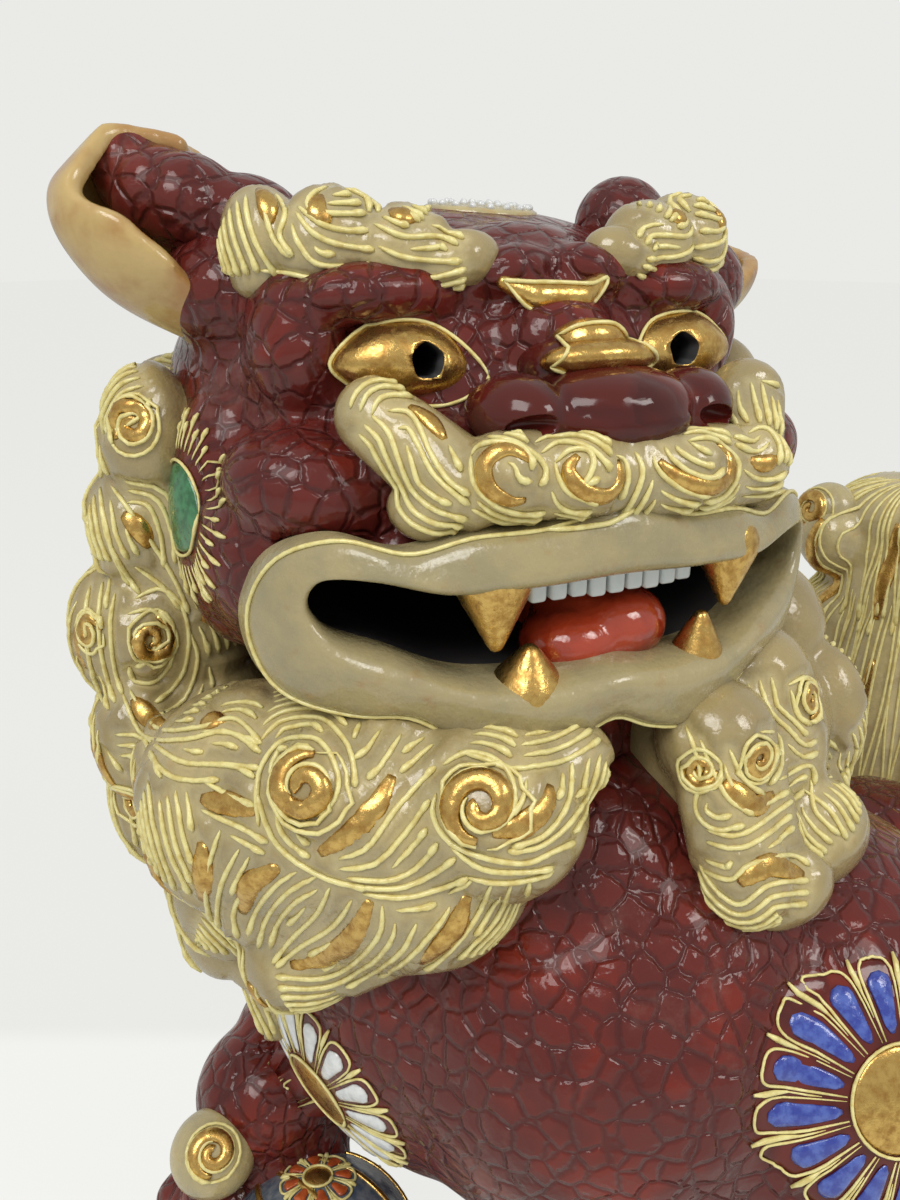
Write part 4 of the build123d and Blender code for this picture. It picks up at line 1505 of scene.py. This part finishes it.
def crossed(tree, paths):
    """Paths taken to the other side of the face, and laid on the clay there."""
    laid = [lay_on(tree, mirrored(path)) for path in paths]
    return [path for path in laid if len(path) > 3]


def carried(tree, paths):
    """Paths taken across, but only where the camera doesn't see them."""
    return [path for path in crossed(tree, paths) if in_sight(all_tree, path) < 0.15]


def dress(area, pieces, strokes, leaves, width, radius=0.5, deep=1.1, apart=2.3, rounds=6, rings=()):
    """Fill some clay with strokes, let it swell between them, and lay the slip and gold in the grooves."""
    tree = landing_tree(*pieces)
    strokes = strokes + echoes(tree, strokes, leaves + list(rings), apart, rounds)
    plump(pieces, strokes + leaves, deep)
    tree = landing_tree(*pieces)
    slips = Trails(f"{area}_slip", slip)
    golden = Trails(f"{area}_gilt", gilt)
    for path in strokes:
        slips.bead(lay_on(tree, path), radius)
    for path in leaves:
        golden.leaf(lay_on(tree, path), width, 0.9)
    trimmings.append(slips.ready())
    if leaves:
        trimmings.append(golden.ready())
    else:
        golden.soft.free()


def rings_round(tree, curls):
    """Rings round some curls, which no echo may cross."""
    rings = []
    for heart, radius, *_ in curls:
        for share in (0.1, 0.45, 0.8, 1.15):
            rings.append(spoke(tree, heart, [(radius * share, 15 * k) for k in range(24)]))
    return rings


# %% [markdown]
# The curls of the beard and mane are set out too: where each is in the picture, its radius in
# millimetres, the angle it starts at, the way it turns and how many turns it has. Those of the
# lion's right side have a partner on its left, wherever the camera doesn't see it.

# %% Where the curls are
FACE_CURLS = [
    ((305, 788), 7.6, 200, -1, 1.35), ((482, 806), 7.6, 150, 1, 1.3), ((132, 424), 5.2, 40, 1, 1.5),
    ((152, 640), 5.6, 250, 1, 1.5), ((88, 632), 4.2, 120, -1, 1.3), ((132, 800), 5.0, 60, 1, 1.3),
]
LEFT_CURLS = [((757, 757), 4.2, 200, 1, 1.5), ((806, 700), 4.0, 90, -1, 1.5), ((700, 770), 3.6, 180, 1, 1.5)]
all_tree = landing_tree(head_hide, lip_piece, *beards.values(), *manes.values(), body_hide)
right_clay, left_clay = (beards["right"], manes["right"]), (beards["left"], manes["left"])
right_tree, left_tree = landing_tree(*right_clay), landing_tree(*left_clay)
right_curls = [(land(right_tree, spot), radius, *wind) for spot, radius, *wind in FACE_CURLS]
right_curls = [found for found in right_curls if found[0]]
left_curls = []
for heart, radius, start, hand, turns in right_curls:
    for partner in lay_on(left_tree, [mirrored([heart])[0]], 12):
        left_curls.append((partner, radius, 180 - start, -hand, turns))
left_curls = [found for found in left_curls if in_sight(all_tree, [found[0]]) == 0]
left_curls += [(land(left_tree, spot), radius, *wind) for spot, radius, *wind in LEFT_CURLS]
print("curls", len(right_curls), "on the right,", len(left_curls), "on the left")

# %% [markdown]
# The strokes land on the clay they belong to. Strokes of the lion's right side are also carried
# across to its left side, wherever the camera doesn't see them, so the far side is finished too.

# %% Trailing the strokes of the mane and beard
right_strokes = landed(right_tree, BEARD_LINES + MANE_LINES)
right_leaves = landed(right_tree, BEARD_GOLD + MANE_GOLD)
left_strokes, left_leaves = landed(left_tree, LEFT_BEARD_LINES), landed(left_tree, LEFT_BEARD_GOLD)
left_strokes += carried(left_tree, right_strokes)
left_leaves += carried(left_tree, right_leaves)
dress("right_locks", right_clay, right_strokes, right_leaves, 4.4, rings=rings_round(right_tree, right_curls))
dress("left_locks", left_clay, left_strokes, left_leaves, 4.4, rings=rings_round(left_tree, left_curls))

# %% [markdown]
# The brows, the moustache and the lip have finer strokes and shallower grooves than the mane. The
# lip itself doesn't swell, it only takes one line.

# %% Trailing the strokes of the face
FINE = {"deep": 0.7, "apart": 2.0}
brow_tree, far_brow_tree = landing_tree(brows["right"]), landing_tree(brows["left"])
brow_strokes, brow_leaves = landed(brow_tree, BROW_LINES), landed(brow_tree, BROW_GOLD)
far_strokes, far_leaves = crossed(far_brow_tree, brow_strokes), crossed(far_brow_tree, brow_leaves)
dress("right_brow", (brows["right"],), brow_strokes, brow_leaves, 3.6, **FINE)
dress("left_brow", (brows["left"],), far_strokes, far_leaves, 3.6, **FINE)
moustache_tree = landing_tree(moustache)
moustache_strokes = landed(moustache_tree, MOUSTACHE_LINES)
moustache_leaves = landed(moustache_tree, MOUSTACHE_GOLD)
dress("moustache", (moustache,), moustache_strokes, moustache_leaves, 3.2, deep=0.7, apart=2.1, rounds=2)
dress("lip", (lip_piece,), landed(landing_tree(lip_piece), LIP_LINE), [], 3.0, deep=0.0, rounds=0)

# %% [markdown]
# Curls are wound as a fat gold coil with a bead of slip on either side of it.


# %% Coils
def curl(slips, golden, tree, heart, radius, start, hand=1, turns=1.5, gold=0.26):
    """One curl: a fat gold coil, and slip along both its sides."""
    if heart is None:
        return
    count = int(24 * turns)

    def wound(shift):
        steps = ((i / count) for i in range(count + 1))
        return [(radius * max(0.05, 0.12 + 0.72 * t + shift), start + hand * 360 * turns * t) for t in steps]

    path = spoke(tree, heart, wound(0.0), 0.25)
    last = len(path) - 1
    sizes = [radius * gold * min(1, 0.5 + i / last, 0.35 + 4 * (1 - i / last)) for i in range(last + 1)]
    golden.tube(path, sizes, 0.6, 0.1, 10)
    slips.bead(spoke(tree, heart, wound(0.24), 0.3), 0.45)
    rim = [(radius * 1.12, start + hand * (360 * turns * k / 30)) for k in range(8, 31)]
    slips.bead(spoke(tree, heart, rim, 0.1), 0.42)


# %% [markdown]
# Rosettes are laid out like the painter's: a gold disc, petals that widen outwards, a line round
# each petal, and a thin line with a dropped end between them. Some have a plate under them.


# %% Plates and rosettes
PLATE_RINGS = (0.0, 0.2, 0.4, 0.6, 0.8, 0.93, 1.0, 1.02)


def plate(trail, tree, heart, radius, rise=0.3, dome=0.0, spokes=48):
    """A thin round plate that follows the clay."""
    rings = []
    for share in PLATE_RINGS:
        level = rise + dome * (1 - share**2)
        if share >= 1.0:
            level = rise * 0.5 if share == 1.0 else -0.4
        path = spoke(tree, heart, [(radius * share, 360 * k / spokes) for k in range(spokes)], level)
        rings.append([trail.soft.verts.new(place) for place, _ in (path[:1] if share == 0 else path)])
    for k in range(spokes):
        m = (k + 1) % spokes
        trail.soft.faces.new((rings[0][0], rings[1][k], rings[1][m]))
        for a, b in zip(rings[1:], rings[2:]):
            trail.soft.faces.new((a[k], b[k], b[m], a[m]))


def club(t):
    """A petal that widens outwards and ends round."""
    return (0.34 + 0.66 * t) * min(1.0, 0.3 + 5 * (1 - t)) * min(1.0, 0.4 + 6 * t)


def rosette(slips, golden, petals, tree, heart, radius, count, disc_share, ground=None, turn=0.0):
    """A chrysanthemum roundel with so many petals, and a disc that is some share of its radius."""
    if heart is None:
        return
    if ground:
        plate(ground, tree, heart, radius * 0.96, 0.15)
    inner = radius * disc_share
    plate(golden, tree, heart, inner, 0.35, 0.3)
    slips.bead(spoke(tree, heart, [(inner * 1.04, 10 * k) for k in range(37)], 0.3), 0.34)
    step = 360 / count
    petal_width = 2 * math.pi * radius * 0.8 / count * 0.62
    for k in range(count):
        angle = turn + step * k
        reach = [(inner * 1.22 + (radius * 0.86 - inner * 1.22) * i / 9, angle) for i in range(10)]
        petals.leaf(spoke(tree, heart, reach, 0.2), petal_width, 0.7, club)
        edge = []
        for i in range(25):
            t = -1 + i / 12
            far = inner * 1.12 + (radius * 0.97 - inner * 1.12) * math.sqrt(max(0.0, 1 - abs(t) ** 3))
            edge.append((far, angle + step * 0.41 * math.sin(math.pi / 2 * t)))
        slips.bead(spoke(tree, heart, edge, 0.2), 0.3, 1.0)
        between = [(radius * (0.56 + 0.44 * i / 5), angle + step / 2) for i in range(6)]
        slips.bead(spoke(tree, heart, between, 0.2), 0.3, 2.0)


def facing(tree, place, away, reach=60):
    """Where the clay is met by coming in towards a place from outside."""
    away = Vector(away).normalized()
    found, out, _, _ = tree.ray_cast(place + away * reach * MM, -away)
    return (found, out if out.dot(away) > 0 else -out) if found else None


# %% [markdown]
# The clay has swollen since the curls were placed, so each is laid on it once more before it is
# wound. All the curls make two pieces, one of slip and one of gold.

# %% Curls of the beard and mane
curl_slip = Trails("curl_slip", slip)
curl_gilt = Trails("curl_gilt", gilt)
for tree, curls in ((landing_tree(*right_clay), right_curls), (landing_tree(*left_clay), left_curls)):
    for heart, radius, start, hand, turns in curls:
        curl(curl_slip, curl_gilt, tree, lay_on(tree, [heart])[0], radius, start, hand, turns)

# %% [markdown]
# Each applied knob is wound with one curl on the side that it shows: outwards on the legs, forward
# on the tail. The one on the raised leg turns to the camera.

# %% Coils on the applied curls
for node, knob in knobs.items():
    knob_tree = landing_tree(knob)
    side = -1 if node.startswith("left") else 1
    if node == "right_wrist_curl":
        away = EYE - knob_tree.find_nearest(EYE)[0]
    elif "wrist" in node:
        away = Vector((-0.5, side * 0.8, 0.3))
    elif "tail" in node:
        away = Vector((-0.9, side * 0.35, 0.3))
    else:
        away = Vector((0.2, side * 0.9, 0.3))
    low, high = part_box(node)
    heart_at = sum((v.co for v in knob.data.vertices), Vector()) / len(knob.data.vertices)
    heart = facing(knob_tree, heart_at, away)
    curl(curl_slip, curl_gilt, knob_tree, heart, (high.z - low.z) / 2 / MM * 0.72, 90, side)
print("coils on", len(knobs), "knobs")

# %% [markdown]
# The flame leaf has six bowed lines that fan out, the third one in gold.

# %% Lines of the flame leaf
flame_tree = landing_tree(flame)
for k in range(6):
    start = on_body(-44 + 2 * k, -75, 92 + 6 * k)
    end = on_body(-24 + 8 * k, -78, 122 - k)
    bowed = [start.lerp(end, i / 14) + UP * (5 * MM * math.sin(i / 4)) for i in range(15)]
    path = [facing(flame_tree, spot, (0, -1, 0.1)) for spot in bowed]
    path = rested([found for found in path if found])
    if k == 2:
        curl_gilt.leaf(path, 3.0)
    else:
        curl_slip.bead(path, 0.42)
curl_slip, curl_gilt = curl_slip.ready(), curl_gilt.ready()

# %% [markdown]
# Two roundels show in the picture, a blue one on the shoulder and a white one at the edge of the
# chest. Four more are guessed, on the flank, the haunches and the back.

# %% Rosettes on the body
body_tree = landing_tree(body_hide)
head_tree = landing_tree(head_hide)
rosette_slip = Trails("rosette_slip", slip)
rosette_gilt = Trails("rosette_gilt", gilt)
blue_petals = Trails("rosette_blue", blue)
white_petals = Trails("rosette_white", white)
grounds = Trails("rosette_ground", smooth_hide)
green_discs = Trails("cheek_green", green)
shoulder = land(body_tree, (905, 1102))
rosette(rosette_slip, rosette_gilt, blue_petals, body_tree, shoulder, 29, 16, 0.35, grounds, 6)
chest = land(body_tree, (316, 1091))
rosette(rosette_slip, rosette_gilt, white_petals, body_tree, chest, 26, 15, 0.34, grounds, 3)
for at, away, petals, radius in (
    ((-30, 62, 92), (0.1, 1, 0.1), blue_petals, 24), ((72, -52, 86), (0.2, -1, 0.3), white_petals, 20),
    ((72, 52, 86), (0.2, 1, 0.3), white_petals, 20), ((30, 0, 130), (0, 0, 1), blue_petals, 24),
):
    heart = facing(body_tree, on_body(*at), away)
    rosette(rosette_slip, rosette_gilt, petals, body_tree, heart, radius, 16, 0.36, grounds)
print("roundels use", len(rosette_slip.soft.faces), "faces of slip")

# %% [markdown]
# The brocade ball has six small orange flowers round it, and six gold bands that cross it as the
# ribbons of a cloth ball do.

# %% Flowers and bands of the ball
BALL_FLOWERS = ((-1, 0.2, 0.5), (-0.2, 1, 0.3), (-0.6, -1, 0.2),
                (1, 0.3, 0.1), (0.1, 0.1, 1), (-0.9, 0.6, -0.7))
ball_tree = landing_tree(ball)
flowers = Trails("ball_flowers", orange)
ball_slip, ball_gilt = Trails("ball_slip", slip), Trails("ball_gilt", gilt)
ball_heart = ball_at * MM
for k, away in enumerate(BALL_FLOWERS):
    heart = facing(ball_tree, ball_heart, away)
    rosette(ball_slip, ball_gilt, flowers, ball_tree, heart, 9.5, 8, 0.34, None, 15 * k)
for k in range(6):
    turn = Euler((0.5 * k, 0.3, 0.52 * k)).to_matrix()
    band = []
    for i in range(64):
        spot = ball_heart + turn @ Vector((math.cos(0.1 * i), math.sin(0.1 * i), 0)) * 24 * MM
        band.append(facing(ball_tree, spot, spot - ball_heart))
    ball_gilt.leaf([found for found in band if found], 1.6, 0.5, lambda t: 1.0)
print("ball has", len(BALL_FLOWERS), "flowers")

# %% [markdown]
# On each cheek is a green disc with rays of slip, long and short by turns, each ending in a drop.

# %% Rayed discs on the cheeks
cheek = land(head_tree, (176, 508))
for heart in (cheek, lay_on(head_tree, mirrored([cheek]), 12)[0]):
    plate(green_discs, head_tree, heart, 8.5, 0.35, 0.4)
    rosette_slip.bead(spoke(head_tree, heart, [(9.2, 10 * k) for k in range(37)], 0.2), 0.34)
    for k in range(44):
        angle = 360 / 44 * k
        far = 20.5 if k % 2 else 17.5
        ray = [(11.4 + (far - 11.4) * i / 7, angle) for i in range(8)]
        rosette_slip.bead(spoke(head_tree, heart, ray, 0.05), 0.26, 1.9)
rosettes = [trail.ready() for trail in (
    rosette_slip, rosette_gilt, blue_petals, white_petals, grounds, green_discs,
    flowers, ball_slip, ball_gilt,
)]

# %% [markdown]
# The eyes, the nose cap and the lips are outlined in slip. The lines are drawn from straight ahead
# of the face and land on it, so they run along the edges of the pieces.


# %% Outlines of the eyes, the nose cap and the lips
outline = Trails("face_outlines", slip)
face_tree = landing_tree(head_hide, *eyes.values())
lip_tree = landing_tree(lip_piece, head_hide)
CAP_EDGE = [(-8.5, -0.5), (-6, 2.5), (-2, 5.6), (4.5, 5.8), (8.5, 2.5), (11.3, -0.5), (5, -2.2), (-3, -2.2),
            (-8.5, -0.5)]


def from_front(tree, points):
    """Land points, given as left and up, from straight ahead of the face."""
    path = []
    for left, up in points:
        found, out, _, _ = tree.ray_cast(on_head(left, 70, up), -AHEAD)
        if found:
            path.append((found, out if out.dot(AHEAD) > 0 else -out))
    return rested(path)


for side in (-1, 1):
    ring = []
    for k in range(57):
        angle = 2 * math.pi * k / 56
        x, z = 14.0 * math.cos(angle), 7.2 * math.sin(angle) * (1 - 0.42 * abs(math.cos(angle)) ** 3)
        x *= 0.86 if x * side < 0 else 1
        ring.append((side * EYE_APART + x, -0.6 + z + 0.10 * x * side - 0.008 * x * x))
    outline.bead(from_front(face_tree, ring), 0.36, 1.0)
outline.bead(from_front(landing_tree(nose_cap), smooth_path(CAP_EDGE, per=5)), 0.38, 1.0)
edge = []
for outer, inner in zip(lip_ring, mouth_ring):
    p = outer.lerp(inner, 0.05)
    edge.append((on_head(p.x, lip_bed(p) + 1.2, p.y), AHEAD))
outline.bead(lay_on(lip_tree, edge + edge[:2]), 0.42, 1.0)

# %% [markdown]
# A gilt crescent lies between the brows, rolled from three bars and outlined as the eyes are.

# %% Crescent
CRESCENT_EDGE = [(-11, 12.8), (-6.5, 8.2), (-1, 7.6), (5, 8.2), (9, 12.8), (5, 12.0), (-1, 12.2), (-7, 12.4),
                 (-11, 12.8)]
crescent = clay("crescent_gilt", [
    ((-10.5, 0.5, 12.4), (-5, 2.8, 10), 1.3, 2.6),
    ((-5, 2.8, 10), (3, 3.0, 9.8), 2.6),
    ((3, 3.0, 9.8), (8.5, 1.2, 12.6), 2.6, 1.3),
], gilt, 0.5, 2)
outline.bead(from_front(landing_tree(crescent), smooth_path(CRESCENT_EDGE, per=5)), 0.4, 1.0)

# %% [markdown]
# The crown of the head has a round cream plate with three rings of white dots. The picture shows
# only its edge.

# %% Crown plate
crown_at = facing(head_tree, on_head(4, -42, 20), UP)
crown = Trails("crown_plate", cream)
plate(crown, head_tree, crown_at, 12, 0.6, 0.3)
crown_dots = Trails("crown_dots", white)
for radius, count in ((3.5, 6), (7, 12), (10.3, 18)):
    for k in range(count):
        ((place, out),) = spoke(head_tree, crown_at, [(radius, 360 * k / count)], 0.9)
        dot = Matrix.Translation(place)
        bmesh.ops.create_icosphere(crown_dots.soft, subdivisions=2, radius=0.75 * MM, matrix=dot)
outline, crown, crown_dots = outline.ready(), crown.ready(), crown_dots.ready()

# %% [markdown]
# The tail and the back of the mane hang in long combed locks. Each strand starts high, wanders as
# it comes down, and ends in a drop; every few strands one is a gold leaf. Locks that the picture
# shows from their other side are combed only where the camera doesn't see them.


# %% Combing strands
def strand(tree, frame_of, middle_line, turns, levels, wave):
    """Come in from all round towards an upright line, turning on the way down."""
    path = []
    for i in range(30):
        t = i / 29
        angle = math.radians(turns[0] + (turns[1] - turns[0]) * t + wave * math.sin(5 * t))
        aim = Vector((math.cos(angle), math.sin(angle), 0))
        level = levels[0] + (levels[1] - levels[0]) * t
        start = frame_of @ (Vector((*middle_line, level)) + aim * 90)
        inward = (frame_of.to_3x3() @ -aim).normalized()
        found, out, _, _ = tree.ray_cast(start, inward, 0.09)
        if found and (not path or (found - path[-1][0]).length < 0.008):
            path.append((found, out if out.dot(inward) < 0 else -out))
    return rested(path)


def unseen(path):
    """The longest stretch of a path that the camera doesn't see."""
    best, run = [], []
    for spot in path:
        run = run + [spot] if in_sight(all_tree, [spot]) == 0 else []
        best = run if len(run) > len(best) else best
    return best


def comb(area, piece, frame_of, middle_line, first, last, count, tiers, gold_every, behind=False):
    """Comb a piece in tiers, each with its top, its bottom and its lean, between two angles."""
    tree = landing_tree(piece)
    slips = Trails(f"{area}_slip", slip)
    golden = Trails(f"{area}_gilt", gilt)
    for tier, (top, bottom, lean) in enumerate(tiers):
        for k in range(count):
            turn = first + (last - first) * (k + 0.5 * (tier % 2)) / count
            wave = 3 * math.sin(k * 1.7 + tier)
            levels = (top + random.uniform(-4, 4), bottom + random.uniform(-5, 5))
            path = strand(tree, frame_of, middle_line, (turn, turn + lean), levels, wave)
            if behind:
                path = unseen(path)
            if k % gold_every == 1:
                golden.leaf(path[len(path) // 4:], 5.0)
            else:
                slips.bead(path, 0.45, 1.6)
    trimmings.extend((slips.ready(), golden.ready()))


# %% [markdown]
# A piece is combed round an upright line inside it, which is given in the head's or the body's
# own millimetres. The angles go round that line, and each tier overlaps the one above it.

# %% Combed locks of the tail, nape, mane and beard
MANE_SIDE = ((-2, -46, 6), (-34, -84, -6), (-74, -124, 6))
MANE_BACK = ((-4, -44, 6), (-40, -84, -6), (-80, -118, 6))
comb("tail", tail, BODY_FRAME, (118, -16), 0, 360, 92, ((183, 138, 2), (144, 74, -2)), 11)
comb("nape", nape, HEAD_FRAME, (0, 60), 0, 180, 34, ((12, -34, 9), (-26, -76, -9), (-64, -112, 8)), 6)
comb("right_mane_side", manes["right"], HEAD_FRAME, (-50, 40), 150, 236, 22, MANE_SIDE, 7, True)
comb("right_beard_side", beards["right"], HEAD_FRAME, (-40, 0), 96, 214, 26,
     ((-56, -96, 8), (-84, -132, -8)), 7, True)
for word, side, first, last in (("left", 1, 20, 90), ("right", -1, 90, 160)):
    comb(f"{word}_mane_back", manes[word], HEAD_FRAME, (side * 50, 50), first, last, 9, MANE_BACK, 4)

# %% [markdown]
# The backdrop is a plain pale sweep. The camera sees the same even grey over the floor and above
# it, with a little of the floor's own shade mixed in so that the lion's shadow stays.

# %% Floor
BACKDROP = tint(234, 234, 231)
floor_mesh = bmesh.new()
bmesh.ops.create_grid(floor_mesh, x_segments=1, y_segments=1, size=6)
floor_glaze = Finish("floor", tint(226, 227, 224), 0.9, Specular_IOR_Level=0.0)
AWAY_FROM_CAMERA = (0.74, 0.675, 0)
along_floor = floor_glaze.add("ShaderNodeVectorMath", {"operation": "DOT_PRODUCT"},
                              {0: floor_glaze.place, 1: AWAY_FROM_CAMERA}, "Value")
far_share = floor_glaze.band(along_floor, 0.022, 0.034)
tone = floor_glaze.blend(far_share, tint(249, 250, 246), tint(240, 240, 237))
glow = floor_glaze.add("ShaderNodeBsdfPrincipled", {}, {
    "Base Color": (0, 0, 0, 1), "Roughness": 1.0, "Specular IOR Level": 0.0,
    "Emission Color": tone, "Emission Strength": 1.0,
})
seen = floor_glaze.add("ShaderNodeLightPath", {}, {}, "Is Camera Ray") * 0.84
matt = Flow(floor_glaze, floor_glaze.shader.outputs[0])
both = floor_glaze.add("ShaderNodeMixShader", {}, {0: seen, 1: matt, 2: glow})
floor_glaze.tree.links.new(both.socket, floor_glaze.tree.nodes["Material Output"].inputs["Surface"])
floor = piece_of("floor", floor_mesh, floor_glaze)
print("floor glaze has", len(floor_glaze.tree.nodes), "nodes")

# %% [markdown]
# The room's own light is soft and even. The camera sees the pale backdrop in its place, but the
# glaze still mirrors the room, so it doesn't look washed out.

# %% The room
world = bpy.data.worlds.new("studio")
bpy.context.scene.world = world
world.use_nodes = True
nodes, links = world.node_tree.nodes, world.node_tree.links
sky = nodes["Background"]
sky.inputs["Color"].default_value = (0.80, 0.80, 0.78, 1)
sky.inputs["Strength"].default_value = 0.72
backdrop = nodes.new("ShaderNodeBackground")
backdrop.inputs["Color"].default_value = (*BACKDROP, 1)
choose = nodes.new("ShaderNodeMixShader")
links.new(nodes.new("ShaderNodeLightPath").outputs["Is Camera Ray"], choose.inputs[0])
links.new(sky.outputs[0], choose.inputs[1])
links.new(backdrop.outputs[0], choose.inputs[2])
links.new(choose.outputs[0], nodes["World Output"].inputs["Surface"])
print("room has", len(nodes), "nodes")

# %% [markdown]
# Two lamps are aimed at the head: a large one like a window, high in front of the body, and a
# smaller, warmer one high on the lion's left. They make the sharp glints on the glaze.

# %% The lamps
LAMPS_AIM = Vector((-0.08, -0.03, 0.2))
for name, at, size, power, colour in (
    ("window", (-0.75, -0.2, 0.95), 0.5, 5.2, (1, 0.99, 0.97)),
    ("lamp", (0.05, -0.75, 0.8), 0.3, 2.4, (1, 0.97, 0.93)),
):
    lamp = bpy.data.lights.new(name, "AREA")
    lamp.size = size
    lamp.energy = power
    lamp.color = colour
    holder = bpy.data.objects.new(name, lamp)
    holder.location = at
    holder.rotation_euler = (LAMPS_AIM - Vector(at)).to_track_quat("-Z", "Y").to_euler()
    bpy.context.scene.collection.objects.link(holder)
    print("lamp", name, "of", power, "W")
bpy.context.scene.view_settings.view_transform = "Standard"

# %% [markdown]
# Every piece is tied to the body of the frame, and the solids it stands for are hidden.


# %% Standing in for the solids
def stand_in(piece, slot, *nodes):
    """Tie a piece to the one body and hide the solids it replaces; the slot is not used."""
    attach(piece, "root")
    if nodes:
        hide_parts(*nodes)


stand_in(head_hide, "hide_glaze", "head_shell")
stand_in(lip_piece, "lip_glaze", "upper_lip", "lower_lip")
for word in ("left", "right"):
    stand_in(eyes[word], "gilt", f"{word}_eye")
    stand_in(ears[word], "ear_tan", f"{word}_ear")
    stand_in(ear_folds[word], "hide_glaze", f"{word}_ear_fold")
    stand_in(manes[word], "cream_enamel", f"{word}_mane", f"{word}_mane_curls")
    stand_in(beards[word], "cream_enamel", f"{word}_beard", f"{word}_beard_curls")
    stand_in(brows[word], "cream_enamel", f"{word}_brow")
    for limb, paw, nails in (("fore", "forepaw", "foreclaws"), ("hind", "hind_paw", "hind_claws")):
        stand_in(paws[f"{word}_{limb}"], "hide_glaze", f"{word}_{paw}")
        stand_in(claws[f"{word}_{limb}"], "gilt", f"{word}_{nails}")
stand_in(nose, "hide_glaze", "nose")
stand_in(nose_cap, "gilt", "nose_cap")
stand_in(moustache, "cream_enamel", "left_moustache", "left_moustache_curls", "right_moustache",
         "right_moustache_curls")
stand_in(nape, "cream_enamel", "nape_mane")
stand_in(body_hide, "hide_glaze", "torso_shell", "left_foreleg", "right_foreleg", "left_hind_leg",
         "right_hind_leg")
stand_in(tail, "cream_enamel", "tail_core", "tail_crown", "left_tail_lock", "right_tail_lock")
stand_in(teeth, "tooth_white", "upper_teeth")
stand_in(tongue, "tongue_red", "tongue")
stand_in(crescent, "gilt", "forehead_crescent")
stand_in(crown, "cream_enamel", "crown_tuft")
stand_in(flame, "cream_enamel", "shoulder_tuft")
stand_in(ball, "ball_glaze", "ball")
for node, piece in fangs.items():
    stand_in(piece, "gilt", node)
for node, piece in knobs.items():
    stand_in(piece, "cream_enamel", node)
for piece in (*trimmings, *rosettes, curl_slip, curl_gilt, outline, crown_dots):
    stand_in(piece, "gilt" if "gilt" in piece.name else "cream_enamel")
left_over = [node for node, solid in frame["nodes"].items() if not solid.hide_render]
print("solids still shown:", left_over)

# %% [markdown]
# Each piece is measured here against the box of the solids, and those that stand past it are
# printed.

# %% Measuring against the box
past = {}
for piece in bpy.data.objects:
    shown = piece.type == "MESH" and not piece.hide_render
    if not shown or piece.name == "floor" or piece.name in frame["nodes"]:
        continue
    corners = [piece.matrix_world @ v.co for v in piece.data.vertices]
    over = []
    for i in range(3):
        reach = [corner[i] for corner in corners]
        over.append(max(cad_box[0][i] - min(reach), max(reach) - cad_box[1][i]))
    if max(over) > 0:
        past[piece.name] = [round(o / MM, 2) for o in over]
print("past the box, mm:", past)
